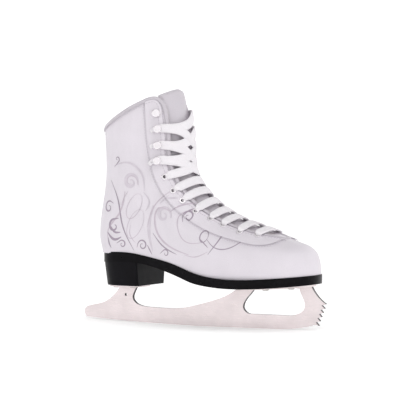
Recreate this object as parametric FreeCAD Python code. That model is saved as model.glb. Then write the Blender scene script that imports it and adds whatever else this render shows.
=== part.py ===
"""Right-foot figure skate: lined leather boot, heeled sole and screwed-on blade.

Toe along +X, top along +Z, millimetres.  The origin is on the ice under the middle of the blade.
"""
import FreeCAD, Part
import math
import os
from FreeCAD import Vector

# Blade
BLADE_THICKNESS = 4.0
PLATE_THICKNESS = 2.2
ROCKER_LOW_X = 5.0              # where the runner touches the ice
ROCKER_RADIUS = 2600.0
CLAMP_HOLE_RADIUS = 1.6         # small hole in the rear stanchion
HEEL_PLATE_TOP = 42.2           # level of the underside of the heel
SCREW_HEAD_RADIUS = 3.6
SCREW_HEAD_HEIGHT = 1.2
SCREW_RADIUS = 1.9

# Sole and heel
SOLE_MARGIN = 1.2               # how far the outsole edge stands out from the leather
SOLE_PLAN_LEVEL = 66.0
HEEL_BREAST_X = -61.0
HEEL_TAPER = 3.7                # inset of the heel's lower rim
HEEL_EDGE_RADIUS = 2.5
BOARD_THICKNESS = 2.6
SOCKLINER_THICKNESS = 3.0
NAIL_RADIUS = 1.2

# Upper: depths below the outer face of the leather, one pair for each layer
LEATHER = (0.0, 2.0)
OVERLAY = (-1.3, -0.1)
INTERLAYER = (2.2, 4.4)
LINING = (4.6, 5.8)
FACING_BACKING = (2.2, 3.4)
COLLAR_BINDING = (-1.2, 6.9)
THROAT_BINDING = (-1.2, 4.4)
TONGUE_COVER = (5.7, 6.9)
TONGUE_FOAM = (7.1, 11.5)
TONGUE_LINING = (11.7, 12.7)
FLAP_CLEARANCE = 2.4            # extra depth of the flap, which swings between the facings
LACE_OUTSIDE = (-3.4, -2.2)
LACE_INSIDE = (4.6, 5.4)
BINDING_WIDTH = 4.5
BINDING_CAP = 1.5
BINDING_SKIN = 1.1
BINDING_JOIN = 230.5            # level where the throat's thinner binding starts
TONGUE_LATERAL = 30.0           # half width of the tongue, which reaches under both facings
TONGUE_STATIONS = (262, 240, 218, 198, 175, 150, 125, 104)
TONGUE_TOE_X = 97.0             # where the tongue is sewn in ahead of the throat
LAYER_GAP = 0.4

# Lacing
EYELET_STATIONS = (97, 116, 136, 151, 168, 185, 198, 211)   # along the ridge, from the sole at the toe
EYELET_LATERAL = (25.5, 28.5, 27.5, 27.0, 28.0, 28.0, 29.0, 28.5)
HOOK_LEVELS = (176.0, 192.5, 209.5, 226.0)
HOOK_LATERAL = 29.7
EYELET_FLANGE_RADIUS = 3.6
EYELET_FLANGE_HEIGHT = 0.8
EYELET_BARREL_RADIUS = 2.5
EYELET_HOLE_RADIUS = 1.9
EYELET_BARREL_LENGTH = 5.2
HOOK_CAP_RADIUS = 4.4
HOOK_CAP_SET_BACK = 1.6         # the cap reaches back over the lace
HOOK_STAND_OFF = 4.4
LACE_WIDTH = 8.0
INNER_LACE_WIDTH = 5.0

# Tongue flap
FLAP_HINGE = (-18.6, 231.0)     # X and Z of the line that the top of the tongue flexes about
FLAP_RELIEF = 0.12              # slope of the gap behind that line

# The last: its front ridge from the sole up, its back, and its half widths
FRONT_RIDGE = [(135.0, 40), (135.2, 64), (133.9, 73), (130.5, 81.5), (123.4, 88), (110.5, 92.6), (98.5, 96.9),
               (85.2, 102), (65.8, 108.4), (45.9, 115.4), (28, 124.9), (13.4, 135.8), (0.9, 148.4),
               (-8.2, 161.7), (-12.5, 176), (-13.5, 198), (-15.5, 216), (-18, 230), (-23, 246), (-29, 264)]
BACK_RIDGE = [(-115.5, 40), (-117, 78), (-120.2, 92), (-120.6, 103), (-118.4, 124), (-115.2, 142),
              (-113, 163), (-113.2, 182), (-114.2, 205), (-113.5, 230), (-112, 264)]
WIDTH_LATERAL = [(-125, 31), (-85, 31.5), (-40, 33), (0, 38.5), (38, 45), (70, 45.5), (100, 43), (140, 39)]
WIDTH_MEDIAL = [(-125, 31), (-85, 31.5), (-40, 31), (0, 34.5), (38, 41.5), (70, 45.6), (100, 45.6), (140, 41)]
WIDTH_SHAFT = [(88, 33), (135, 34), (165, 35), (215, 37), (264, 38)]
FOOT_TOP, SHAFT_BASE = 88.0, 165.0      # between these levels the foot's widths pass into the shaft's
SLICE_LEVELS = (44, 54, 62, 70, 76, 81, 85, 88.5, 91.5, 94.5, 97.5, 101, 105, 110, 116, 123, 131, 140,
                150, 161, 174, 190, 208, 226, 244, 262)
SLICE_POINTS = 12               # on each side of a slice

# Side outlines, X and Z
SOLE_TOP = [(-150, 78.6), (-95, 78.6), (-67, 78), (-43, 74), (-25, 70.5), (-8, 66), (10, 60), (27, 56.4),
            (46, 54.3), (70, 54), (100, 55.8), (130, 58.3), (160, 61)]
SOLE_BOTTOM = [(-150, 68), (-90, 68), (-58, 67.4), (-42, 64.6), (-20, 58.6), (-4, 53.6), (11, 48.8), (28, 46.1),
               (48, 44.6), (72, 44.6), (100, 46.2), (127, 48.5), (160, 51.4)]
COLLAR = [(-135, 207), (-118, 211.5), (-104, 216.5), (-92, 222), (-79, 228.3), (-64, 235.6), (-52, 241.2),
          (-43, 244.6), (-36.5, 244), (-32, 240)]
THROAT = [(272, 22.8), (250, 22.4), (225, 22), (205, 21), (185, 20.4), (160, 20), (130, 20), (105, 19),
          (92, 15.5), (84, 10.5), (79, 5)]       # ridge station and half gap of the facings' front edge
THROAT_END_STATION = 77.0
FACING_SEAM = [(-50, 262), (-48.4, 239), (-46.5, 212), (-43.5, 184), (-38.5, 161.5), (-29.5, 145),
               (-15, 129), (4, 115.5), (27, 104), (48, 97), (67, 92.6), (82, 90), (93, 90.2), (100.5, 93),
               (104, 98), (106, 112)]
TONGUE_TOP = [(-75, 240), (-54, 247.5), (-38, 251.6), (-22, 253.4), (0, 254)]
RUNNER_TOP = [(-143, 15.6), (-131, 18.6), (-120, 21.5), (-111, 27), (-104.5, 33), (-99.4, 40)]
ARCH_LINE = [(-78.6, 40), (-82.3, 33), (-83.6, 27), (-80.4, 22.4), (-74, 19.4), (-60, 17.9), (-40, 17.6),
             (-21, 18.8), (-1, 23.4), (18, 28.7), (33, 34.6), (45, 42.6)]
WINDOW_REAR = [(64.4, 42.6), (57, 33.6), (52.6, 27.4), (51.4, 22.4), (54.4, 17.8), (61, 15.8)]
WINDOW_FRONT = [(101, 15.9), (114.5, 18), (121.2, 23), (122.2, 29), (119.4, 36), (116.4, 46.2)]
TOE_FRONT = [(129.6, 47), (133.8, 40.2), (139.4, 34), (145.9, 29.2)]
PICK_TIPS = [(145.9, 29.2), (144.4, 24.7), (142.6, 20.2), (140.8, 15.8), (139.3, 11.4), (137.9, 6.8)]
PICK_ROOTS = [(140.9, 27.8), (139.8, 23.2), (138.2, 18.9), (136.3, 14.6), (134.6, 10.2)]
RUNNER_BOTTOM = [(133.5, 7.6), (120, 4.2)]
RUNNER_BOTTOM += [(x, (x - ROCKER_LOW_X) ** 2 / (2 * ROCKER_RADIUS)) for x in (100, 55, ROCKER_LOW_X, -40, -90, -143)]
TAIL = [(-145.9, 8.4), (-145.9, 12.4)]
FAR = 200.0                     # longer than anything that a prism has to cut


def through(points):
    """Piecewise cubic through (key, value) pairs that doesn't overshoot between them."""
    keys = [p[0] for p in points]
    values = [p[1] for p in points]
    steps = [b - a for a, b in zip(keys, keys[1:])]
    chords = [(b - a) / h for a, b, h in zip(values, values[1:], steps)]
    slopes = [chords[0]]
    for i in range(1, len(chords)):
        before, after = chords[i - 1], chords[i]
        if before * after <= 0:
            slopes.append(0.0)
        else:
            w1 = 2 * steps[i] + steps[i - 1]
            w2 = steps[i] + 2 * steps[i - 1]
            slopes.append((w1 + w2) / (w1 / before + w2 / after))
    slopes.append(chords[-1])

    def value(key):
        if key <= keys[0]:
            return values[0]
        if key >= keys[-1]:
            return values[-1]
        i = 0
        while key > keys[i + 1]:
            i += 1
        t, h = (key - keys[i]) / steps[i], steps[i]
        return ((1 + 2 * t) * (1 - t) ** 2 * values[i] + h * t * (1 - t) ** 2 * slopes[i]
                + t * t * (3 - 2 * t) * values[i + 1] - h * t * t * (1 - t) * slopes[i + 1])
    return value


def dense(points, step=1.5):
    """Smooth curve through side-view points, as closely spaced points."""
    curve = Part.BSplineCurve()
    curve.interpolate([Vector(x, 0, z) for x, z in points])
    count = max(8, int(curve.length() / step))
    return [(v.x, v.z) for v in curve.discretize(count)]


def beside(points, distance):
    """The same line moved sideways, to the left of its direction."""
    moved = []
    for i, (x, z) in enumerate(points):
        ax, az = points[max(i - 1, 0)]
        bx, bz = points[min(i + 1, len(points) - 1)]
        run = math.hypot(bx - ax, bz - az)
        moved.append((x - distance * (bz - az) / run, z + distance * (bx - ax) / run))
    return moved


def lookup(pairs):
    """Straight-line lookup in sorted (key, value) pairs."""
    pairs = sorted(pairs)

    def value(key):
        if key <= pairs[0][0]:
            return pairs[0][1]
        if key >= pairs[-1][0]:
            return pairs[-1][1]
        low, high = 0, len(pairs) - 1
        while high - low > 1:
            middle = (low + high) // 2
            if pairs[middle][0] <= key:
                low = middle
            else:
                high = middle
        (a, va), (b, vb) = pairs[low], pairs[high]
        return va + (vb - va) * (key - a) / (b - a) if b > a else va
    return value


def ease(value, low, high):
    """0 below low, 1 above high and smooth between."""
    t = min(max((value - low) / (high - low), 0.0), 1.0)
    return t * t * (3 - 2 * t)


class Last:
    """The boot's outer shape, taken in by a depth; a negative depth is further out."""
    lateral = staticmethod(through(WIDTH_LATERAL))
    medial = staticmethod(through(WIDTH_MEDIAL))
    shaft = staticmethod(through(WIDTH_SHAFT))

    def __init__(self, depth=0.0):
        self.depth = depth
        self.ridge = beside(dense(FRONT_RIDGE), depth)
        back = beside(dense(BACK_RIDGE), -depth)
        self.front_x = lookup([(z, x) for x, z in self.ridge])
        self.back_x = lookup([(z, x) for x, z in back])
        self.top_z = lookup([(x, z) for x, z in self.ridge if z > 64])
        self.shaft_front = self.front_x(SLICE_LEVELS[-1])

    def half(self, x, z, side):
        """Half width at a place in the side view, on side -1 (outer) or +1 (inner)."""
        front, back = self.front_x(z), self.back_x(z)
        if not back < x < front:
            return 0.0
        up = ease(z, FOOT_TOP, SHAFT_BASE)
        foot = (self.lateral if side < 0 else self.medial)(x)
        width = foot * (1 - up) + self.shaft(z) * up - self.depth
        ahead = (front - x) / (38 * (1 - up) + 52 * up - self.depth)
        above = 99.0
        if x > self.shaft_front:
            above = max(self.top_z(x) - z, 1e-6) / (44 - 14 * ease(x, 20, 110) - self.depth)
        rounding = 1 / math.sqrt(1 / ahead ** 2 + 1 / above ** 2)
        behind = (x - back) / (31 * (1 - up) + 50 * up - self.depth)
        tuck = 1 - 0.05 * (max(72 - z, 0) / 18) ** 2
        return width * self.arch(rounding) * self.arch(behind) * tuck

    @staticmethod
    def arch(u, power=2.1):
        u = min(max(u, 0.0), 1.0)
        return (1 - (1 - u) ** power) ** (1 / power)

    def slice(self, z, level=None):
        """Closed outline at a level, drawn at another one if given."""
        back, front = self.back_x(z), self.front_x(z)
        xs = [back + (front - back) * (1 - math.cos(math.pi * i / SLICE_POINTS)) / 2
              for i in range(SLICE_POINTS + 1)]
        height = z if level is None else level
        near = [Vector(x, -self.half(x, z, -1), height) for x in xs]
        far = [Vector(x, self.half(x, z, 1), height) for x in xs[-2:0:-1]]
        points = near + far
        curve = Part.BSplineCurve()
        curve.interpolate(Points=points, PeriodicFlag=True,
                          Parameters=[float(i) for i in range(len(points) + 1)])
        return Part.Wire([curve.toShape()])

    def solid(self):
        return Part.makeLoft([self.slice(z) for z in SLICE_LEVELS], True, False)

    def at_station(self, station, lateral, side):
        """Surface point, outward normal and ridge tangent beside a ridge station."""
        run = 0.0
        for (ax, az), (bx, bz) in zip(self.ridge, self.ridge[1:]):
            length = math.hypot(bx - ax, bz - az)
            if run + length >= station:
                break
            run += length
        t = (station - run) / length
        x, z = ax + t * (bx - ax), az + t * (bz - az)
        tx, tz = (bx - ax) / length, (bz - az) / length
        near, deep = 0.0, 45.0
        for _ in range(40):
            middle = (near + deep) / 2
            if self.half(x - middle * tz, z + middle * tx, side) < lateral:
                near = middle
            else:
                deep = middle
        point = Vector(x - near * tz, side * lateral, z + near * tx)
        return point, self.normal(point, side), Vector(tx, 0, tz)

    def normal(self, point, side):
        e = 0.5
        slope_x = (self.half(point.x + e, point.z, side) - self.half(point.x - e, point.z, side)) / (2 * e)
        slope_z = (self.half(point.x, point.z + e, side) - self.half(point.x, point.z - e, side)) / (2 * e)
        return Vector(-slope_x, side, -slope_z).normalize()


solids = {}


def last_solid(depth):
    key = round(depth, 3)
    if key not in solids:
        solids[key] = Last(key).solid()
    return solids[key]


def layer(depths):
    """Closed wall between two depths under the outer face of the leather."""
    outer, inner = last_solid(depths[0]), last_solid(depths[1])
    faces = [face for solid in (outer, inner) for face in solid.Faces if face.BoundBox.ZLength > 1]
    for outer_end, inner_end in zip(level_ends(outer), level_ends(inner)):
        rim = [outer_end.OuterWire, inner_end.OuterWire]
        faces.append(Part.Face(rim, "Part::FaceMakerCheese"))
    shell = Part.makeShell(faces)
    shell.sewShape()
    wall = Part.makeSolid(shell)
    if wall.Volume < 0:
        wall.reverse()
    return wall


def level_ends(solid):
    """The two flat end faces, the lower one first."""
    ends = [face for face in solid.Faces if face.BoundBox.ZLength < 1]
    return sorted(ends, key=lambda face: face.BoundBox.ZMin)


def smooth_edge(points):
    curve = Part.BSplineCurve()
    curve.interpolate([Vector(x, 0, z) for x, z in points])
    return curve.toShape()


def line_edges(points):
    ends = [Vector(x, 0, z) for x, z in points]
    return [Part.makeLine(a, b) for a, b in zip(ends, ends[1:])]


def side_prism(edges, low_y=-FAR, high_y=FAR):
    """Solid with a side-view outline, from one Y to another."""
    face = Part.Face(Part.Wire(Part.__sortEdges__(edges)))
    face.translate(Vector(0, low_y, 0))
    return face.extrude(Vector(0, high_y - low_y, 0))


def band_prism(lower, upper):
    """Prism between two smooth lines that run from the back to the front."""
    ends = [[lower[0], upper[0]], [lower[-1], upper[-1]]]
    edges = [smooth_edge(lower), smooth_edge(upper)]
    for pair in ends:
        edges += line_edges(pair)
    return side_prism(edges)


def region(low_x, high_x, low_z, high_z, low_y=-FAR, high_y=FAR):
    return Part.makeBox(high_x - low_x, high_y - low_y, high_z - low_z, Vector(low_x, low_y, low_z))


def raised(points, height):
    return [(x, z + height) for x, z in points]


OUTER = Last()


def rim_points(inset=0.0):
    """Collar and throat edge of the upper in the side view, from the back to the throat's end."""
    collar = beside(COLLAR, -inset) if inset else COLLAR
    throat = []
    for station, half_gap in THROAT:
        point = OUTER.at_station(station, half_gap + inset, -1)[0]
        throat.append((point.x, point.z))
    end = OUTER.at_station(THROAT_END_STATION - inset, 0.01, -1)[0]
    throat.append((end.x, end.z))
    return collar + throat


def upper_prism(inset=0.0):
    """Everything below the collar, behind the throat and above the sole."""
    rim = rim_points(inset)
    lift = (rim[-1][0] + 6, rim[-1][1] + 24)
    corners = [rim[-1], lift, (FAR, lift[1]), (FAR, SOLE_TOP[-1][1]), SOLE_TOP[-1]]
    back = [SOLE_TOP[0], (-FAR, SOLE_TOP[0][1]), (-FAR, rim[0][1]), rim[0]]
    return side_prism([smooth_edge(rim), smooth_edge(SOLE_TOP)] + line_edges(corners) + line_edges(back))


def facing_prism(grow=0.0):
    """The band in front of the facing seam."""
    seam = beside(FACING_SEAM, grow)
    corners = [seam[-1], (FAR, seam[-1][1]), (FAR, seam[0][1]), seam[0]]
    return side_prism([smooth_edge(seam)] + line_edges(corners))


def lacing_points(depth, side):
    """Eyelet and hook places on a layer: point, outward normal, ridge tangent."""
    surface = Last(depth)
    eyelets = [surface.at_station(s, l, side) for s, l in zip(EYELET_STATIONS, EYELET_LATERAL)]
    hooks = []
    for level in HOOK_LEVELS:
        front = surface.front_x(level)
        near, deep = 0.0, 40.0
        for _ in range(40):
            middle = (near + deep) / 2
            if surface.half(front - middle, level, side) < HOOK_LATERAL:
                near = middle
            else:
                deep = middle
        point = Vector(front - near, side * HOOK_LATERAL, level)
        hooks.append((point, surface.normal(point, side), Vector(0, 0, 1)))
    return eyelets, hooks


def post(point, normal, radius, low, high):
    """Cylinder along a normal, from one height to another over the point."""
    return Part.makeCylinder(radius, high - low, point + normal * low, normal)


def one(shapes):
    """Several separate solids as one shape."""
    return Part.makeCompound(shapes)


def fused(shapes):
    return shapes[0].multiFuse(shapes[1:]).removeSplitter() if len(shapes) > 1 else shapes[0]


# ---------------------------------------------------------------- blade


def blade_runner():
    """Runner, stanchions and toe picks, cut from one sheet of steel."""
    teeth = []
    for tip, root in zip(PICK_TIPS, PICK_ROOTS):
        teeth += [tip, root]
    teeth.append(PICK_TIPS[-1])
    sole_side = [ARCH_LINE[-1], WINDOW_REAR[0]]
    edges = [smooth_edge(RUNNER_TOP), smooth_edge(ARCH_LINE), smooth_edge(WINDOW_REAR),
             smooth_edge(WINDOW_FRONT), smooth_edge(TOE_FRONT), smooth_edge(RUNNER_BOTTOM)]
    edges += line_edges([RUNNER_TOP[-1], ARCH_LINE[0]]) + line_edges(sole_side)
    edges += line_edges([WINDOW_REAR[-1], WINDOW_FRONT[0]]) + line_edges([WINDOW_FRONT[-1], TOE_FRONT[0]])
    edges += line_edges(teeth + [RUNNER_BOTTOM[0]])
    edges += line_edges([RUNNER_BOTTOM[-1]] + TAIL + [RUNNER_TOP[0]])
    blade = side_prism(edges, -BLADE_THICKNESS / 2, BLADE_THICKNESS / 2)
    hole = Part.makeCylinder(CLAMP_HOLE_RADIUS, 2 * BLADE_THICKNESS, Vector(-92.2, -BLADE_THICKNESS, 30.5),
                             Vector(0, 1, 0))
    return blade.cut(hole).cut(plate_band())


def plate_band():
    """The layer just under the forefoot of the sole that the plate fills."""
    return band_prism(raised(SOLE_BOTTOM, -PLATE_THICKNESS), SOLE_BOTTOM)


def plan_prism(points, low, high):
    """Upright prism on a smooth closed plan outline."""
    curve = Part.BSplineCurve()
    curve.interpolate(Points=[Vector(x, y, low) for x, y in points], PeriodicFlag=True)
    return Part.Face(Part.Wire([curve.toShape()])).extrude(Vector(0, 0, high - low))


SOLE_PLATE_PLAN = [(36, 0), (42, -13), (56, -20), (74, -19), (94, -16), (114, -15), (128, -10), (133, 0),
                   (128, 10), (114, 15), (94, 16), (74, 19), (56, 20), (42, 13)]
HEEL_PLATE_PLAN = [(-109, 0), (-104, -15), (-90, -20), (-75, -18), (-68, -10), (-66, 0), (-68, 10),
                   (-75, 18), (-90, 20), (-104, 15)]
SOLE_SCREWS = [(52, -13), (52, 13), (82, -11), (82, 11), (110, -9), (110, 9)]
HEEL_SCREWS = [(-99, -10.5), (-99, 10.5), (-77.5, -11), (-77.5, 11)]


def sole_plate():
    return plan_prism(SOLE_PLATE_PLAN, 30, 60).common(plate_band()).cut(sole_screws())


def heel_plate():
    slab = plan_prism(HEEL_PLATE_PLAN, HEEL_PLATE_TOP - PLATE_THICKNESS, HEEL_PLATE_TOP)
    return slab.cut(heel_screws())


def screws(places, head_level, length):
    """Round-headed screws driven upwards, as one group."""
    group = []
    for x, y in places:
        z = head_level(x)
        head = Part.makeCylinder(SCREW_HEAD_RADIUS, SCREW_HEAD_HEIGHT, Vector(x, y, z - SCREW_HEAD_HEIGHT))
        rim = [edge for edge in head.Edges if edge.BoundBox.ZMax < z - SCREW_HEAD_HEIGHT + 0.01]
        head = head.makeFillet(SCREW_HEAD_HEIGHT * 0.8, rim)
        shank = Part.makeCylinder(SCREW_RADIUS, length, Vector(x, y, z))
        group.append(head.fuse(shank).removeSplitter())
    return one(group)


def sole_screws():
    bottom = through(SOLE_BOTTOM)
    return screws(SOLE_SCREWS, lambda x: bottom(x) - PLATE_THICKNESS, PLATE_THICKNESS + 8.5)


def heel_screws():
    return screws(HEEL_SCREWS, lambda x: HEEL_PLATE_TOP - PLATE_THICKNESS, PLATE_THICKNESS + 16)


# ---------------------------------------------------------------- sole and heel


def sole_plan(grow, low, high):
    """Upright prism on the sole's plan outline."""
    wire = Last(-grow).slice(SOLE_PLAN_LEVEL, low)
    return Part.Face(wire).extrude(Vector(0, 0, high - low))


def outsole():
    slab = sole_plan(SOLE_MARGIN, 30, 95).common(band_prism(SOLE_BOTTOM, SOLE_TOP))
    return slab.cut(sole_screws()).cut(heel_nails())


def heel_block():
    top = Last(-SOLE_MARGIN).slice(SOLE_PLAN_LEVEL, SOLE_BOTTOM[0][1] + 4)
    bottom = Last(HEEL_TAPER - SOLE_MARGIN).slice(SOLE_PLAN_LEVEL, HEEL_PLATE_TOP)
    block = Part.makeLoft([bottom, top], True, True)
    block = block.common(region(-FAR, HEEL_BREAST_X, 0, 90))
    breast = [edge for edge in block.Edges
              if abs(edge.BoundBox.XMin - HEEL_BREAST_X) < 0.01 and abs(edge.BoundBox.XMax - HEEL_BREAST_X) < 0.01
              and edge.BoundBox.ZLength > 10]
    block = block.makeFillet(HEEL_EDGE_RADIUS, breast)
    below = band_prism(raised(SOLE_BOTTOM, -60), SOLE_BOTTOM)
    return block.common(below).cut(heel_screws()).cut(heel_nails())


def heel_nails():
    """Five nails from the insole board down into the heel."""
    places = [(-108, 0), (-96, -18), (-96, 18), (-74, -19), (-74, 19)]
    top = SOLE_TOP[0][1] - 0.1
    return one([Part.makeCylinder(NAIL_RADIUS, 26, Vector(x, y, top - 26)) for x, y in places])


def footbed(depth, low, high):
    """Slab that follows the sole's top line inside the upper."""
    lower, upper = raised(SOLE_TOP, low), raised(SOLE_TOP, high)
    return last_solid(depth).common(band_prism(lower, upper))


def insole_board():
    return footbed(LINING[1] + 0.3, 0.4, 0.4 + BOARD_THICKNESS).cut(shank_space(0.1))


def shank_space(gap):
    """The strip of spring steel under the arch, grown by a gap."""
    strip = region(-72 - gap, 30 + gap, 40, 90, -7 - gap, 7 + gap)
    return strip.common(band_prism(raised(SOLE_TOP, 0.3), raised(SOLE_TOP, 1.6 + gap)))


def shank():
    return shank_space(0.0)


def sockliner():
    return footbed(LINING[1] + 0.3, 0.6 + BOARD_THICKNESS, 0.6 + BOARD_THICKNESS + SOCKLINER_THICKNESS)


# ---------------------------------------------------------------- upper


def lacing_holes():
    """Cylinders where eyelet barrels and hook rivets pass through the facings."""
    holes = []
    for side in (-1, 1):
        eyelets, hooks = lacing_points(0.0, side)
        holes += [post(p, n, EYELET_BARREL_RADIUS, -8, 6) for p, n, _ in eyelets]
        holes += [post(p, n, 1.6, -8, 6) for p, n, _ in hooks]
    return one(holes)


def upper_shell():
    return layer(LEATHER).common(upper_prism(BINDING_CAP)).cut(lacing_holes())


def eyestay():
    """U-shaped overlay that carries the eyelets and hooks and runs round the throat's end."""
    wall = layer(OVERLAY).common(upper_prism(BINDING_WIDTH + 0.3)).common(facing_prism())
    return wall.cut(lacing_holes())


def facing_backing():
    inset = BINDING_CAP
    return layer(FACING_BACKING).common(upper_prism(inset)).common(facing_prism()).cut(lacing_holes())


def quarter_zone(inset):
    return upper_prism(inset).cut(facing_prism(-LAYER_GAP))


def backstay():
    """Strip over the back seam."""
    strip = region(-FAR, -100, SOLE_TOP[0][1], 208, -9, 9)
    return layer(OVERLAY).common(strip).common(upper_prism(BINDING_WIDTH + 0.5))


def binding(depths, stretch):
    """Folded strip along the rim: a channel that closes over the edge of the layers."""
    edge = upper_prism().cut(upper_prism(BINDING_WIDTH)).common(stretch)
    channel = (depths[0] + BINDING_SKIN, depths[1] - 0.9)
    filling = layer(channel).common(upper_prism(BINDING_CAP - 0.1))
    return layer(depths).common(edge).cut(filling)


def collar_binding():
    """Over the collar, from the back round to the front corner of each facing."""
    high, low, split = 262, 150, -60
    outline = [(-FAR, low), (split, low), (split, BINDING_JOIN), (FAR, BINDING_JOIN), (FAR, high), (-FAR, high),
               (-FAR, low)]
    return binding(COLLAR_BINDING, side_prism(line_edges(outline)))


def throat_binding():
    """Down the front edge of each facing and round the throat's end."""
    return binding(THROAT_BINDING, region(-50, FAR, 0, BINDING_JOIN - 0.1))


def lining():
    return layer(LINING).common(quarter_zone(BINDING_CAP))


def interlayer(box):
    return layer(INTERLAYER).common(quarter_zone(BINDING_CAP + 1)).common(box)


COUNTER_FRONT, COUNTER_TOP, TOE_CAP_REAR = -35.0, 118.0, 75.0


def heel_counter():
    return interlayer(region(-FAR, COUNTER_FRONT - LAYER_GAP, 0, COUNTER_TOP))


def ankle_padding():
    return interlayer(region(-FAR, FAR, COUNTER_TOP + LAYER_GAP, 260))


def side_stiffener():
    return interlayer(region(COUNTER_FRONT, TOE_CAP_REAR - LAYER_GAP, 0, COUNTER_TOP))


def toe_box():
    return interlayer(region(TOE_CAP_REAR, FAR, 0, COUNTER_TOP))


# ---------------------------------------------------------------- tongue


def tongue_prism(inset=0.0):
    """Side view of the tongue: from under the facings forward, cut at its top edge and its toe end."""
    wing = [(-49 + inset, 264), (-48 + inset, 248)]
    for station in TONGUE_STATIONS:
        point = OUTER.at_station(station, TONGUE_LATERAL - inset, -1)[0]
        wing.append((point.x, point.z))
    toe_end = TONGUE_TOE_X - inset
    corners = [wing[-1], (toe_end, wing[-1][1] - 6), (toe_end, 264), wing[0]]
    under_edge = side_prism([smooth_edge(wing)] + line_edges(corners))
    top = raised(TONGUE_TOP, -inset)
    under_top = side_prism([smooth_edge(top)] + line_edges([top[-1], (FAR, top[-1][1]), (FAR, 0), (-FAR, 0),
                                                            (-FAR, top[0][1]), top[0]]))
    return under_edge.common(under_top)


def flap_split(upper):
    """Side-view region above or below the line that the flap flexes about."""
    x, z = FLAP_HINGE
    run = 60.0
    if upper:
        outline = [(x + 20, z), (x - run, z), (x - run, 270), (x + 20, 270), (x + 20, z)]
    else:
        drop = FLAP_RELIEF * run
        outline = [(x + FAR, z - 0.5), (x, z - 0.5), (x - run, z - 0.5 - drop), (x - run, 0), (x + FAR, 0),
                   (x + FAR, z - 0.5)]
    return side_prism(line_edges(outline))


def tongue_layer(depths, inset, upper):
    extra = FLAP_CLEARANCE if upper else 0.0
    wall = layer((depths[0] + extra, depths[1] + extra))
    return wall.common(tongue_prism(inset)).common(flap_split(upper))


# ---------------------------------------------------------------- lacing


def eyelets(side, rested_on):
    """Flanges and barrels, each flange bedded on the layers under it."""
    group = []
    for place, normal, _ in lacing_points(0.0, side)[0]:
        point = place - normal * OVERLAY[0]
        flange = post(point, normal, EYELET_FLANGE_RADIUS, 0.1, 0.1 + EYELET_FLANGE_HEIGHT)
        rim = [e for e in flange.Edges if e.Curve.TypeId == "Part::GeomCircle"]
        rim.sort(key=lambda e: (e.CenterOfMass - point).dot(normal))
        flange = flange.makeFillet(EYELET_FLANGE_HEIGHT * 0.6, rim[-1:])
        barrel = post(point, normal, EYELET_BARREL_RADIUS - 0.1, 0.1 - EYELET_BARREL_LENGTH, 0.1)
        bore = post(point, normal, EYELET_HOLE_RADIUS, -9, 3)
        group.append(flange.fuse(barrel).cut(bore))
    group = one(group)
    for piece in rested_on:
        group = group.cut(piece)
    return group


def hooks(side):
    """Speed hooks: riveted foot, post and a domed cap that reaches back."""
    group = []
    for place, normal, _ in lacing_points(0.0, side)[1]:
        point = place - normal * OVERLAY[0]
        back = (Vector(-1, 0, 0) - normal * Vector(-1, 0, 0).dot(normal)).normalize()
        foot = post(point, normal, 3.8, 0.1, 0.9)
        rivet = post(point, normal, 1.5, -4.8, 0.2)
        stem = post(point, normal, 1.7, 0.5, HOOK_STAND_OFF + 0.6)
        cap = post(point + back * HOOK_CAP_SET_BACK, normal, HOOK_CAP_RADIUS, HOOK_STAND_OFF,
                   HOOK_STAND_OFF + 1.6)
        rim = [e for e in cap.Edges if e.Curve.TypeId == "Part::GeomCircle"]
        rim.sort(key=lambda e: (e.CenterOfMass - point).dot(normal))
        cap = cap.makeFillet(1.3, rim[-1:])
        group.append(fused([foot, rivet, stem, cap]))
    return one(group)


def strip(a, b, normal, width, overrun=0.0):
    """Slab between two places, as wide as the lace and square to the boot's surface."""
    along = (b - a).normalize()
    a, b = a - along * overrun, b + along * overrun
    across = along.cross(normal).normalize()
    up = across.cross(along).normalize()
    corners = [across * (width / 2), across * (-width / 2)]
    start, end = a - up * 45, b - up * 45
    wire = Part.makePolygon([start + corners[0], start + corners[1], end + corners[1], end + corners[0],
                             start + corners[0]])
    return Part.Face(wire).extrude(up * 90)


def lace(metalwork):
    """One lace: straight bars outside the eyelets, slanted runs inside, crossed over the hooks."""
    near_eyelets, near_hooks = lacing_points(0.0, -1)
    far_eyelets, far_hooks = lacing_points(0.0, 1)
    near, far = near_eyelets + near_hooks, far_eyelets + far_hooks
    rows = len(near_eyelets)
    outside, inside = [], []
    for i in range(rows - 1):
        outside.append((near[i], far[i]))
        if i + 2 < rows:
            inside.append((far[i], near[i + 1]))
    for i in range(rows - 1, len(near) - 2):
        outside += [(near[i], far[i + 1]), (far[i], near[i + 1])]
    outside.append((near[-2], far[-1]))
    strips = []
    for runs, depths, width, overrun in ((outside, LACE_OUTSIDE, LACE_WIDTH, 3.0),
                                         (inside, LACE_INSIDE, INNER_LACE_WIDTH, 0.0)):
        slabs = []
        for (a, na, _), (b, nb, _) in runs:
            ridge = Vector(na.x + nb.x, 0, na.z + nb.z).normalize()
            slabs.append(strip(a, b, ridge, width, overrun))
        front = slabs[0].multiFuse(slabs[1:])
        strips.append(layer(depths).common(front).common(facing_prism(4)))
    runs_up = []
    for side, first, half in ((-1, 0, (-FAR, 0)), (1, rows - 2, (0, FAR))):
        ladder = lacing_points(0.0, side)[0]
        for (a, na, _), (b, _, _) in list(zip(ladder, ladder[1:]))[first:]:
            runs_up.append(strip(a, b, na, INNER_LACE_WIDTH).common(region(-FAR, FAR, 0, 260, *half)))
    climb = runs_up[0].multiFuse(runs_up[1:])
    strips.append(layer(LACE_INSIDE).common(climb))
    plugs = []
    for side in (-1, 1):
        for point, normal, _ in lacing_points(0.0, side)[0]:
            plugs.append(post(point, normal, EYELET_HOLE_RADIUS - 0.2, -5.4, 2.8))
    whole = fused(strips + plugs)
    for piece in metalwork:
        whole = whole.cut(piece)
    return whole


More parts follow.
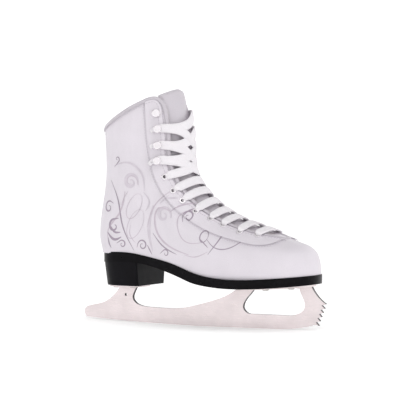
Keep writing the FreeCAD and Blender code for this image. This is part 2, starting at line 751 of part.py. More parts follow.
EYESTAY = eyestay()
THROAT_EDGE = throat_binding()
EYELETS = {side: eyelets(side, (EYESTAY, THROAT_EDGE)) for side in (-1, 1)}
HOOKS = {side: hooks(side) for side in (-1, 1)}

parts = {
    "blade_runner": blade_runner(),
    "sole_plate": sole_plate(),
    "heel_plate": heel_plate(),
    "sole_plate_screws": sole_screws(),
    "heel_plate_screws": heel_screws(),
    "outsole": outsole(),
    "heel_block": heel_block(),
    "heel_nails": heel_nails(),
    "insole_board": insole_board(),
    "shank": shank(),
    "sockliner": sockliner(),
    "upper_shell": upper_shell(),
    "eyestay": EYESTAY,
    "facing_backing": facing_backing(),
    "backstay": backstay(),
    "collar_binding": collar_binding(),
    "throat_binding": THROAT_EDGE,
    "lining": lining(),
    "heel_counter": heel_counter(),
    "ankle_padding": ankle_padding(),
    "side_stiffener": side_stiffener(),
    "toe_box": toe_box(),
    "tongue_cover": tongue_layer(TONGUE_COVER, 0.0, False),
    "tongue_foam": tongue_layer(TONGUE_FOAM, 1.5, False),
    "tongue_lining": tongue_layer(TONGUE_LINING, 0.5, False),
    "flap_cover": tongue_layer(TONGUE_COVER, 0.0, True),
    "flap_foam": tongue_layer(TONGUE_FOAM, 1.5, True),
    "flap_lining": tongue_layer(TONGUE_LINING, 0.5, True),
    "eyelets_outer_side": EYELETS[-1],
    "eyelets_inner_side": EYELETS[1],
    "hooks_outer_side": HOOKS[-1],
    "hooks_inner_side": HOOKS[1],
    "lace": lace((HOOKS[-1], HOOKS[1], EYELETS[-1], EYELETS[1])),
}

os.makedirs("parts", exist_ok=True)
for name, shape in parts.items():
    shape.exportStep("parts/" + name + ".step")
    print("%-20s solids %2d valid %s volumes %s" % (
        name, len(shape.Solids), shape.isValid(), [round(s.Volume) for s in shape.Solids]))
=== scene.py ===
"""Looks of a lace-up figure skate: leather boot, padded tongue, flat lace, heeled sole and steel blade."""
import math

import bpy
import numpy as np
from bpy.props import FloatProperty, FloatVectorProperty, IntProperty, PointerProperty
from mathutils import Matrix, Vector


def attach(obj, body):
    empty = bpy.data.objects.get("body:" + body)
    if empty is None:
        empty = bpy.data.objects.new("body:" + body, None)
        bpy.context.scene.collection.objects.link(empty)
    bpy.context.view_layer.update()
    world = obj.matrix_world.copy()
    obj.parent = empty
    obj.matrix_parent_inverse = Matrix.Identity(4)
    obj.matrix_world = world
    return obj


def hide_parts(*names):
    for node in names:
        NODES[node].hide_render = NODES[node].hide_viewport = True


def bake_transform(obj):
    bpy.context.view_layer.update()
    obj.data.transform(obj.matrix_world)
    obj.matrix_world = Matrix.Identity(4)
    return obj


bl_info = {
    "name": "Figure skate",
    "version": (1, 0, 0),
    "blender": (4, 5, 0),
    "location": "View3D > Sidebar > Skate",
    "description": "Builds the looks of a lace-up figure skate round its CAD parts",
    "category": "Object",
}

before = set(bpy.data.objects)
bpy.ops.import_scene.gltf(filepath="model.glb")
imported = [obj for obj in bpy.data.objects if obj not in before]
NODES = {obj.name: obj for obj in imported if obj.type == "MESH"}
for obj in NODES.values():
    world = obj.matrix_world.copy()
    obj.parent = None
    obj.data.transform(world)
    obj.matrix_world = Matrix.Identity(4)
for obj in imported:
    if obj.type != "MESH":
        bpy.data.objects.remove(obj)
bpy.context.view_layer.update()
MM = 0.001

# The last: front ridge from the sole up, back line and half widths, in millimetres
FRONT_RIDGE = [(135.0, 40), (135.2, 64), (133.9, 73), (130.5, 81.5), (123.4, 88), (110.5, 92.6), (98.5, 96.9),
               (85.2, 102), (65.8, 108.4), (45.9, 115.4), (28, 124.9), (13.4, 135.8), (0.9, 148.4),
               (-8.2, 161.7), (-12.5, 176), (-13.5, 198), (-15.5, 216), (-18, 230), (-23, 246), (-29, 264)]
BACK_RIDGE = [(-115.5, 40), (-117, 78), (-120.2, 92), (-120.6, 103), (-118.4, 124), (-115.2, 142),
              (-113, 163), (-113.2, 182), (-114.2, 205), (-113.5, 230), (-112, 264)]
WIDTHS = {-1: [(-125, 31), (-85, 31.5), (-40, 33), (0, 38.5), (38, 45), (70, 45.5), (100, 43), (140, 39)],
          1: [(-125, 31), (-85, 31.5), (-40, 31), (0, 34.5), (38, 41.5), (70, 45.6), (100, 45.6), (140, 41)]}
WIDTH_SHAFT = [(88, 33), (135, 34), (165, 35), (215, 37), (264, 38)]
SOLE_TOP = [(-150, 78.6), (-95, 78.6), (-67, 78), (-43, 74), (-25, 70.5), (-8, 66), (10, 60), (27, 56.4),
            (46, 54.3), (70, 54), (100, 55.8), (130, 58.3), (160, 61)]
COLLAR = [(-135, 207), (-118, 211.5), (-104, 216.5), (-92, 222), (-79, 228.3), (-64, 235.6), (-52, 241.2),
          (-43, 244.6), (-36.5, 244), (-32, 240)]
THROAT = [(272, 22.8), (250, 22.4), (225, 22), (205, 21), (185, 20.4), (160, 20), (130, 20), (105, 19),
          (92, 15.5), (84, 10.5), (79, 5)]
THROAT_END = 77.0
FACING_SEAM = [(-50, 262), (-48.4, 239), (-46.5, 212), (-43.5, 184), (-38.5, 161.5), (-29.5, 145),
               (-15, 129), (4, 115.5), (27, 104), (48, 97), (67, 92.6), (82, 90), (93, 90.2), (100.5, 93),
               (104, 98), (106, 112)]
TONGUE_TOP = [(-75, 240), (-54, 247.5), (-38, 251.6), (-22, 253.4), (0, 254)]
EYELETS = list(zip((97, 116, 136, 151, 168, 185, 198, 211), (25.5, 28.5, 27.5, 27.0, 28.0, 28.0, 29.0, 28.5)))
HOOK_LEVELS = (176.0, 192.5, 209.5, 226.0)
HOOK_LATERAL = 29.7
BINDING_CAP = 1.5
BINDING_WIDTH = 4.5
SEAM_TOP = 236.0   # where the facing's stitching runs in under the collar binding
WAVE_RATE = 0.314   # scale of a wave texture times its period in metres
MIX_A, MIX_B, MIX_RESULT = 6, 7, 2   # sockets of a Mix node that mixes colours


def linear(code):
    """An sRGB hex value as linear RGB."""
    values = [int(code[i:i + 2], 16) / 255 for i in (1, 3, 5)]
    return [v / 12.92 if v <= 0.04045 else ((v + 0.055) / 1.055) ** 2.4 for v in values]


def colour(name, code, description):
    return FloatVectorProperty(name=name, description=description, subtype="COLOR", size=3, min=0, max=1,
                               default=linear(code))


class SKATE_PG_sizes(bpy.types.PropertyGroup):
    """Sizes that a maker would change."""
    stitch_pitch: FloatProperty(name="Stitch pitch", description="Distance from stitch to stitch",
                                default=0.0030, min=0.002, unit="LENGTH")
    thread: FloatProperty(name="Thread", description="Thickness of the sewing thread", default=0.0006,
                          min=0.0003, unit="LENGTH")
    lace_width: FloatProperty(name="Lace width", description="Width of the flat lace", default=0.0102,
                              min=0.005, unit="LENGTH")
    lace_thickness: FloatProperty(name="Lace thickness", description="Thickness of the flat lace",
                                  default=0.0017, min=0.0008, unit="LENGTH")
    tongue_rise: FloatProperty(name="Tongue rise", default=0.0034, min=0.0, unit="LENGTH",
                               description="How far the padded tongue swells up in the throat")
    columns: IntProperty(name="Columns", description="Faces round each half of the boot", default=56, min=24)
    focal_length: FloatProperty(name="Focal length", description="Camera lens in millimetres", default=122.0,
                                min=20.0)


class SKATE_PG_colours(bpy.types.PropertyGroup):
    """Colours of the finishes."""
    leather: colour("Leather", "#DDD7DE", "Finished upper leather")
    binding: colour("Binding", "#C6C0C7", "Soft leather strip along the collar and throat")
    tongue: colour("Tongue", "#CAC4CB", "Tongue leather")
    lining: colour("Lining", "#CFC8CC", "Brushed lining cloth")
    lace: colour("Lace", "#F4F0F4", "Flat woven lace")
    thread: colour("Thread", "#C3BCC5", "Sewing thread")
    print_faint: colour("Faint print", "#CDC5CE", "Broad faint tone of the scroll print")
    print_light: colour("Light print", "#C6BAC5", "Light tone of the scroll print")
    print_dark: colour("Dark print", "#A194A2", "Dark tone of the scroll print")
    sole: colour("Sole", "#08070A", "Polished sole edge")
    heel: colour("Heel", "#0D0C10", "Polished stacked heel")
    steel: colour("Steel", "#E6DBDC", "Plated blade steel")
    # grey darker than the leather: edge paint that also stands in as painted shade along the facing's step
    edge: colour("Edge paint", "#8E8590", "Paint on the cut edges of the leather")


# ---------------------------------------------------------------- the last


def slopes_of(keys, values):
    """Slopes for a piecewise cubic that doesn't overshoot."""
    steps, rises = np.diff(keys), np.diff(values)
    chords = rises / steps
    slopes = np.empty(len(keys))
    slopes[0], slopes[-1] = chords[0], chords[-1]
    for i in range(1, len(chords)):
        before, after = chords[i - 1], chords[i]
        w1, w2 = 2 * steps[i] + steps[i - 1], steps[i] + 2 * steps[i - 1]
        slopes[i] = 0.0 if before * after <= 0 else (w1 + w2) / (w1 / before + w2 / after)
    return slopes


def through(points):
    """Piecewise cubic through (key, value) pairs, for arrays."""
    keys, values = np.array(points, float).T
    slopes = slopes_of(keys, values)

    def value(key):
        key = np.clip(key, keys[0], keys[-1])
        i = np.clip(np.searchsorted(keys, key) - 1, 0, len(keys) - 2)
        h = keys[i + 1] - keys[i]
        t = (key - keys[i]) / h
        return ((1 + 2 * t) * (1 - t) ** 2 * values[i] + h * t * (1 - t) ** 2 * slopes[i]
                + t * t * (3 - 2 * t) * values[i + 1] - h * t * t * (1 - t) * slopes[i + 1])
    return value


def arc_length(points):
    """Distance run along a line at each of its points."""
    return np.r_[0, np.cumsum(np.linalg.norm(np.diff(points, axis=0), axis=1))]


def smooth(points, step=1.0):
    """Points closely spaced along the smooth curve through the given ones."""
    points = np.array(points, float)
    chord = arc_length(points)
    n, h = len(points), np.diff(chord)
    system, right = np.eye(n), np.zeros_like(points)
    for i in range(1, n - 1):
        system[i, i - 1:i + 2] = h[i - 1], 2 * (h[i - 1] + h[i]), h[i]
        right[i] = 6 * ((points[i + 1] - points[i]) / h[i] - (points[i] - points[i - 1]) / h[i - 1])
    bend = np.linalg.solve(system, right)
    at = np.linspace(0, chord[-1], max(8, int(chord[-1] / step)))
    i = np.clip(np.searchsorted(chord, at) - 1, 0, n - 2)
    low, high, run = (chord[i + 1] - at)[:, None], (at - chord[i])[:, None], h[i][:, None]
    return ((bend[i] * low ** 3 + bend[i + 1] * high ** 3) / (6 * run)
            + (points[i] / run - bend[i] * run / 6) * low
            + (points[i + 1] / run - bend[i + 1] * run / 6) * high)


def beside(points, distance):
    """The same line moved sideways, to the left of its direction."""
    points = np.array(points, float)
    along = np.empty_like(points)
    along[1:-1] = points[2:] - points[:-2]
    along[0], along[-1] = points[1] - points[0], points[-1] - points[-2]
    along /= np.linalg.norm(along, axis=1)[:, None]
    return points + distance * np.c_[-along[:, 1], along[:, 0]]


def resampled(points, step):
    """Points at equal distances along a line."""
    points = np.array(points, float)
    run = arc_length(points)
    at = np.linspace(0, run[-1], max(4, int(round(run[-1] / step)) + 1))
    return np.stack([np.interp(at, run, column) for column in points.T], 1)


def sunk_to(reach_at, target, far):
    """Distances from 0 to far at which reach_at(distance) comes up to a target."""
    near, deep = np.zeros_like(target), np.full_like(target, far)
    for _ in range(30):
        middle = (near + deep) / 2
        short = reach_at(middle) < target
        near, deep = np.where(short, middle, near), np.where(short, deep, middle)
    return near


def ease(value, low, high):
    t = np.clip((value - low) / (high - low), 0, 1)
    return t * t * (3 - 2 * t)


class Last:
    """The boot's outer shape in millimetres, taken in by a depth; a negative depth is further out."""
    foot = {side: through(pairs) for side, pairs in WIDTHS.items()}
    shaft = staticmethod(through(WIDTH_SHAFT))

    def __init__(self, depth=0.0):
        self.depth = depth
        self.ridge = beside(smooth(FRONT_RIDGE), depth)
        self.back = beside(smooth(BACK_RIDGE), -depth)
        self.run = arc_length(self.ridge)
        self.shaft_front = float(self.front_x(262.0))

    def front_x(self, z):
        order = np.argsort(self.ridge[:, 1])
        return np.interp(z, self.ridge[order, 1], self.ridge[order, 0])

    def back_x(self, z):
        return np.interp(z, self.back[:, 1], self.back[:, 0])

    def top_z(self, x):
        upper = self.ridge[self.ridge[:, 1] > 64]
        order = np.argsort(upper[:, 0])
        return np.interp(x, upper[order, 0], upper[order, 1])

    @staticmethod
    def arch(u, power=2.1):
        return (1 - (1 - np.clip(u, 0, 1)) ** power) ** (1 / power)

    def half(self, x, z, side):
        """Half width at places in the side view, on side -1 (outer) or +1 (inner)."""
        x, z = np.asarray(x, float), np.asarray(z, float)
        front, back = self.front_x(z), self.back_x(z)
        inside = (x > back) & (x < front)
        up = ease(z, 88.0, 165.0)
        foot = np.where(np.asarray(side) < 0, self.foot[-1](x), self.foot[1](x))
        width = foot * (1 - up) + self.shaft(z) * up - self.depth
        ahead = np.maximum(front - x, 1e-6) / (38 * (1 - up) + 52 * up - self.depth)
        above = np.maximum(self.top_z(x) - z, 1e-6) / (44 - 14 * ease(x, 20, 110) - self.depth)
        above = np.where(x > self.shaft_front, above, 99.0)
        rounding = 1 / np.sqrt(1 / ahead ** 2 + 1 / above ** 2)
        behind = (x - back) / (31 * (1 - up) + 50 * up - self.depth)
        tuck = 1 - 0.05 * (np.maximum(72 - z, 0) / 18) ** 2
        return np.where(inside, width * self.arch(rounding) * self.arch(behind) * tuck, 0.0)

    def on(self, x, z, side):
        """Points of the surface above places in the side view."""
        return np.stack([x, side * self.half(x, z, side), z], -1)

    def normal(self, x, z, side, e=0.6):
        side = np.asarray(side, float)
        slope_x = (self.half(x + e, z, side) - self.half(x - e, z, side)) / (2 * e)
        slope_z = (self.half(x, z + e, side) - self.half(x, z - e, side)) / (2 * e)
        out = np.stack([-slope_x, side * np.ones_like(slope_x), -slope_z], -1)
        return out / np.linalg.norm(out, axis=-1, keepdims=True)

    def ridge_at(self, station):
        return [np.interp(station, self.run, self.ridge[:, c]) for c in (0, 1)]

    def at_station(self, station, lateral):
        """Surface points at a distance along the ridge, so far to the -Y or +Y side of it."""
        station, lateral = np.broadcast_arrays(np.asarray(station, float), np.asarray(lateral, float))
        x, z = self.ridge_at(station)
        tx, tz = (a - b for a, b in zip(self.ridge_at(station + 0.5), self.ridge_at(station - 0.5)))
        size = np.hypot(tx, tz)
        tx, tz = tx / size, tz / size
        sunk = sunk_to(lambda d: self.half(x - d * tz, z + d * tx, lateral), np.abs(lateral), 45.0)
        return np.stack([x - sunk * tz, lateral, z + sunk * tx], -1)


LEATHER = Last(0.0)


def rim_line(inset=0.0):
    """Collar and throat edge in the side view, from the back to the throat's end."""
    collar = beside(COLLAR, -inset) if inset else np.array(COLLAR, float)
    throat = [LEATHER.at_station(station, -(gap + inset))[[0, 2]] for station, gap in THROAT]
    end = LEATHER.at_station(THROAT_END - inset, -0.01)[[0, 2]]
    return smooth(np.vstack([collar, throat, end]), 0.5)


# ---------------------------------------------------------------- modelling helpers


def clear_selection():
    if bpy.context.mode != "OBJECT":
        bpy.ops.object.mode_set(mode="OBJECT")
    bpy.ops.object.select_all(action="DESELECT")


def choose(*pieces):
    clear_selection()
    for piece in pieces:
        piece.select_set(True)
    bpy.context.view_layer.objects.active = pieces[0]


def shaped_grid(name, columns, rows, place):
    """A grid whose vertices are moved to place(u, v), in millimetres, with u and v from 0 to 1."""
    clear_selection()
    bpy.ops.mesh.primitive_grid_add(x_subdivisions=columns, y_subdivisions=rows, size=2)
    piece = bpy.context.object
    piece.name = piece.data.name = name
    flat = np.empty(len(piece.data.vertices) * 3)
    piece.data.vertices.foreach_get("co", flat)
    flat = flat.reshape(-1, 3)
    moved = np.asarray(place((flat[:, 0] + 1) / 2, (flat[:, 1] + 1) / 2), float) * MM
    piece.data.vertices.foreach_set("co", moved.ravel())
    piece.data.update()
    return piece


def welded(piece, distance=0.00002, recalculate=False):
    """Merges doubled vertices and, on a closed shape, turns its faces outwards."""
    choose(piece)
    bpy.ops.object.mode_set(mode="EDIT")
    bpy.ops.mesh.select_all(action="SELECT")
    bpy.ops.mesh.remove_doubles(threshold=distance)
    if recalculate:
        bpy.ops.mesh.normals_make_consistent(inside=False)
    bpy.ops.object.mode_set(mode="OBJECT")
    return piece


def faced(piece, outward):
    """Turns an open sheet so that its faces look along outward(centre)."""
    total = sum(face.normal.dot(Vector(outward(face.center))) * face.area for face in piece.data.polygons)
    if total < 0:
        piece.data.flip_normals()
    return piece


def finished(piece, kind, **settings):
    """Adds a modifier and applies it."""
    choose(piece)
    modifier = piece.modifiers.new(kind.title(), kind)
    for key, value in settings.items():
        setattr(modifier, key, value)
    bpy.ops.object.modifier_apply(modifier=modifier.name)
    return piece


def joined(name, pieces):
    choose(*pieces)
    if len(pieces) > 1:
        bpy.ops.object.join()
    pieces[0].name = pieces[0].data.name = name
    return pieces[0]


def smoothed(piece, degrees=40):
    choose(piece)
    bpy.ops.object.shade_smooth_by_angle(angle=math.radians(degrees))
    return piece


def cut_with(piece, cutter, operation):
    finished(piece, "BOOLEAN", object=cutter, operation=operation, solver="EXACT")
    bpy.data.objects.remove(cutter)
    return piece


def side_prism(name, outline, low_y=-90.0, high_y=90.0):
    """A solid with a side-view outline."""
    clear_selection()
    bpy.ops.mesh.primitive_circle_add(vertices=len(outline), fill_type="NGON")
    piece = bpy.context.object
    piece.name = name
    for vertex, (x, z) in zip(piece.data.vertices, outline):
        vertex.co = Vector((x, low_y, z)) * MM
    bpy.ops.object.mode_set(mode="EDIT")
    bpy.ops.mesh.select_all(action="SELECT")
    bpy.ops.mesh.extrude_region_move(TRANSFORM_OT_translate={"value": (0, (high_y - low_y) * MM, 0)})
    bpy.ops.mesh.select_all(action="SELECT")
    bpy.ops.mesh.normals_make_consistent(inside=False)
    bpy.ops.object.mode_set(mode="OBJECT")
    return piece


def swept(name, points, across, outward, profile, closed=False):
    """A tube along points: profile(t) gives its closed outline as (across, outward) pairs for each point."""
    points, across, outward = np.array(points), np.array(across), np.array(outward)
    count, size = len(points), len(profile(0.0))
    rings = np.array([profile(i / (count - 1)) for i in range(count)])
    skin = points[:, None] + rings[..., :1] * across[:, None] + rings[..., 1:] * outward[:, None]

    def place(u, v):
        i = np.rint(u * (count - 1)).astype(int)
        j = np.rint(v * size).astype(int) % size
        return skin[i % (count - 1) if closed else i, j]
    piece = shaped_grid(name, count - 1, size, place)
    if not closed:
        choose(piece)
        bpy.ops.object.mode_set(mode="EDIT")
        bpy.ops.mesh.select_all(action="SELECT")
        bpy.ops.mesh.remove_doubles(threshold=0.00001)
        bpy.ops.mesh.select_all(action="DESELECT")
        bpy.ops.mesh.select_non_manifold()
        bpy.ops.mesh.fill_holes(sides=0)
        bpy.ops.object.mode_set(mode="OBJECT")
    return welded(piece, 0.00001, recalculate=True)


def tangents(points):
    along = np.gradient(np.array(points, float), axis=0)
    return along / np.linalg.norm(along, axis=1)[:, None]


def unit(rows):
    return rows / np.linalg.norm(rows, axis=-1, keepdims=True)


def dressed(piece, material, body="boot"):
    piece.data.materials.clear()
    piece.data.materials.append(material)
    if body:
        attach(piece, body)
    return piece


def refinished(material, *names):
    """Gives CAD nodes a better finish."""
    for name in names:
        for slot in NODES[name].material_slots:
            slot.material = material


# ---------------------------------------------------------------- materials


def add(material, kind, inputs=(), **fields):
    """Adds a shader node with its settings; an input is a number, a colour or another node's output."""
    node = material.node_tree.nodes.new(kind)
    for key, value in fields.items():
        setattr(node, key, value)
    for key, value in dict(inputs).items():
        socket = node.inputs[key]
        if isinstance(value, bpy.types.NodeSocket):
            material.node_tree.links.new(value, socket)
        else:
            socket.default_value = value
    return node


def start(name):
    """An empty material with its shader, output and the object's own coordinates."""
    material = bpy.data.materials.new(name)
    material.use_nodes = True
    material.node_tree.nodes.clear()
    shader = add(material, "ShaderNodeBsdfPrincipled")
    add(material, "ShaderNodeOutputMaterial", {"Surface": shader.outputs["BSDF"]})
    place = add(material, "ShaderNodeTexCoord").outputs["Object"]
    return material, shader, place


def opaque(rgb):
    return (*rgb, 1.0)


def shade_of(rgb, factor):
    return opaque([min(1.0, v * factor) for v in rgb])


def mottled(material, place, rgb, scale, low=0.94, high=1.03):
    """Slow changes of tone over a surface."""
    cloud = add(material, "ShaderNodeTexNoise", {"Vector": place, "Scale": scale, "Detail": 3.0})
    ramp = add(material, "ShaderNodeValToRGB", {"Fac": cloud.outputs["Fac"]})
    ramp.color_ramp.elements[0].position, ramp.color_ramp.elements[1].position = 0.3, 0.7
    ramp.color_ramp.elements[0].color = shade_of(rgb, low)
    ramp.color_ramp.elements[1].color = shade_of(rgb, high)
    return ramp.outputs["Color"]


def bumped(material, shader, layers):
    """Chains bumps, each given as (height output, depth in metres, strength)."""
    normal = None
    for height, distance, strength in layers:
        inputs = {"Height": height, "Distance": distance, "Strength": strength}
        if normal is not None:
            inputs["Normal"] = normal
        normal = add(material, "ShaderNodeBump", inputs).outputs["Normal"]
    material.node_tree.links.new(normal, shader.inputs["Normal"])


def varied(material, place, scale, low, high):
    """Roughness that changes a little from place to place."""
    cloud = add(material, "ShaderNodeTexNoise", {"Vector": place, "Scale": scale, "Detail": 2.0})
    spread = {"Value": cloud.outputs["Fac"], "From Min": 0.3, "From Max": 0.7, "To Min": low, "To Max": high}
    return add(material, "ShaderNodeMapRange", spread).outputs["Result"]


def leather_finish(name, rgb, roughness=0.42, grain=0.9, depth=0.00005):
    """Finished calf leather: a low sheen, fine pebbled grain and slow tone changes."""
    material, shader, place = start(name)
    shader.inputs["IOR"].default_value = 1.5
    shader.inputs["Coat Weight"].default_value = 0.12
    shader.inputs["Coat Roughness"].default_value = 0.3
    base = mottled(material, place, rgb, 28.0, 0.965, 1.02)
    # grain cells of about a millimetre, a little coarser than real calf so that they show
    cells = add(material, "ShaderNodeTexVoronoi", {"Vector": place, "Scale": 1000.0 / grain},
                feature="DISTANCE_TO_EDGE")
    pores = add(material, "ShaderNodeTexNoise", {"Vector": place, "Scale": 2600.0, "Detail": 2.0})
    folds = add(material, "ShaderNodeTexNoise", {"Vector": place, "Scale": 60.0, "Detail": 4.0})
    # the grain's cell edges are darkened a little: the grain's own tone together with painted shade in its
    # creases
    grain_tone_and_crease_shade = add(material, "ShaderNodeMapRange", {"Value": cells.outputs["Distance"], "From Min": 0.0,
                                                   "From Max": 0.12, "To Min": 0.93, "To Max": 1.0})
    tone = add(material, "ShaderNodeMix", {"Factor": 1.0, MIX_A: base, MIX_B: grain_tone_and_crease_shade.outputs["Result"]},
               data_type="RGBA", blend_type="MULTIPLY")
    material.node_tree.links.new(tone.outputs[MIX_RESULT], shader.inputs["Base Color"])
    material.node_tree.links.new(varied(material, place, 90.0, roughness - 0.06, roughness + 0.08),
                                 shader.inputs["Roughness"])
    bumped(material, shader, [(cells.outputs["Distance"], depth * 2, 0.35),
                              (pores.outputs["Fac"], depth, 0.3), (folds.outputs["Fac"], 0.0006, 0.25)])
    return material


def woven_finish(name, rgb, thread=0.8, depth=0.00025):
    """Woven cotton: crossed threads of a thickness in millimetres, a soft nap and no shine."""
    material, shader, place = start(name)
    shader.inputs["Roughness"].default_value = 0.9
    shader.inputs["Sheen Weight"].default_value = 0.25
    shader.inputs["Sheen Roughness"].default_value = 0.5
    warp = add(material, "ShaderNodeTexWave", {"Vector": place, "Scale": WAVE_RATE / (2 * thread * MM),
                                               "Distortion": 0.6}, bands_direction="DIAGONAL")
    fluff = add(material, "ShaderNodeTexNoise", {"Vector": place, "Scale": 1400.0, "Detail": 3.0})
    tone = mottled(material, place, rgb, 180.0, 0.94, 1.02)
    material.node_tree.links.new(tone, shader.inputs["Base Color"])
    bumped(material, shader, [(warp.outputs["Fac"], depth, 0.3), (fluff.outputs["Fac"], depth * 0.6, 0.4)])
    return material


def lace_finish(rgb):
    """Flat braided cotton lace: slanted threads that meet along the middle, by the lace's own UV map."""
    material, shader, _ = start("braided_cotton_lace")
    shader.inputs["Roughness"].default_value = 0.85
    shader.inputs["Sheen Weight"].default_value = 0.3
    lie = add(material, "ShaderNodeUVMap", uv_map="lace").outputs["UV"]
    parts = add(material, "ShaderNodeSeparateXYZ", {"Vector": lie})
    fold = add(material, "ShaderNodeMath", {0: parts.outputs["Y"]}, operation="ABSOLUTE")
    slant = add(material, "ShaderNodeMath", {0: parts.outputs["X"], 1: fold.outputs[0]}, operation="ADD")
    # one thread each 1.1 mm along the lace, coarser than the real braid so that it shows
    phase = add(material, "ShaderNodeMath", {0: slant.outputs[0], 1: 2 * math.pi / 0.0011},
                operation="MULTIPLY")
    ridge = add(material, "ShaderNodeMath", {0: phase.outputs[0]}, operation="SINE")
    height = add(material, "ShaderNodeMapRange", {"Value": ridge.outputs[0], "From Min": -1.0})
    # the grooves between threads are coloured darker than their crowns, following the bump's height: painted
    # shade between the threads
    tone = add(material, "ShaderNodeValToRGB", {"Fac": height.outputs["Result"]})
    tone.color_ramp.elements[0].color = shade_of(rgb, 0.86)
    tone.color_ramp.elements[1].color = opaque(rgb)
    material.node_tree.links.new(tone.outputs["Color"], shader.inputs["Base Color"])
    bumped(material, shader, [(height.outputs["Result"], 0.00025, 0.5)])
    return material


def polished_finish(name, rgb, roughness, layers=0.0):
    """Waxed and dyed leather edge: almost black with a soft polish; layers is the pitch of stacked lifts."""
    material, shader, place = start(name)
    shader.inputs["IOR"].default_value = 1.5
    shader.inputs["Coat Weight"].default_value = 0.04
    shader.inputs["Coat Roughness"].default_value = 0.15
    shader.inputs["Specular IOR Level"].default_value = 0.06
    scuffs = add(material, "ShaderNodeTexNoise", {"Vector": place, "Scale": 240.0, "Detail": 5.0})
    material.node_tree.links.new(mottled(material, place, rgb, 40.0, 0.8, 1.5), shader.inputs["Base Color"])
    material.node_tree.links.new(varied(material, place, 110.0, roughness - 0.05, roughness + 0.1),
                                 shader.inputs["Roughness"])
    heights = [(scuffs.outputs["Fac"], 0.0002, 0.25)]
    if layers:
        bands = add(material, "ShaderNodeTexWave", {"Vector": place, "Scale": WAVE_RATE / (2 * layers),
                                                    "Distortion": 0.3, "Detail": 1.0}, bands_direction="Z")
        heights.append((bands.outputs["Fac"], 0.0002, 0.3))
    bumped(material, shader, heights)
    return material


def steel_finish(name, rgb, roughness=0.3, brushing=(60.0, 2500.0, 2500.0), edge=None):
    """Plated steel: brushed along its length, with a satin shine and faint stains; its cut edges get a darker
    colour, a painted dark reflection.
    """
    material, shader, place = start(name)
    shader.inputs["Metallic"].default_value = 1.0
    lie = add(material, "ShaderNodeMapping", {"Vector": place, "Scale": brushing})
    hairlines = add(material, "ShaderNodeTexNoise", {"Vector": lie.outputs["Vector"], "Scale": 1.0,
                                                     "Detail": 4.0})
    tone = mottled(material, place, rgb, 35.0, 0.9, 1.02)
    # painted dark reflection: faces that don't look sideways get the darker edge colour
    if edge:
        facing = add(material, "ShaderNodeTexCoord").outputs["Normal"]
        sideways = add(material, "ShaderNodeSeparateXYZ", {"Vector": facing}).outputs["Y"]
        flat = add(material, "ShaderNodeMath", {0: sideways}, operation="ABSOLUTE").outputs[0]
        painted_edge_reflection_mask = add(material, "ShaderNodeValToRGB", {"Fac": flat})
        painted_edge_reflection_mask.color_ramp.elements[0].position, painted_edge_reflection_mask.color_ramp.elements[1].position = 0.5, 0.8
        tone = add(material, "ShaderNodeMix", {"Factor": painted_edge_reflection_mask.outputs["Color"], MIX_A: opaque(edge),
                                               MIX_B: tone}, data_type="RGBA").outputs[MIX_RESULT]
    material.node_tree.links.new(tone, shader.inputs["Base Color"])
    rough = add(material, "ShaderNodeMapRange", {"Value": hairlines.outputs["Fac"], "From Min": 0.25,
                                                 "From Max": 0.75, "To Min": roughness - 0.07,
                                                 "To Max": roughness + 0.1})
    material.node_tree.links.new(rough.outputs["Result"], shader.inputs["Roughness"])
    bumped(material, shader, [(hairlines.outputs["Fac"], 0.00002, 0.4)])
    return material


def board_finish(name, rgb):
    """Pressed leather or fibre board: dull, with flecks."""
    material, shader, place = start(name)
    flecks = add(material, "ShaderNodeTexNoise", {"Vector": place, "Scale": 700.0, "Detail": 6.0})
    tone = mottled(material, place, rgb, 320.0, 0.85, 1.12)
    material.node_tree.links.new(tone, shader.inputs["Base Color"])
    shader.inputs["Roughness"].default_value = 0.8
    bumped(material, shader, [(flecks.outputs["Fac"], 0.0002, 0.4)])
    return material


def sizes():
    return bpy.context.scene.skate_sizes


def colours():
    return bpy.context.scene.skate_colours


# ---------------------------------------------------------------- stage


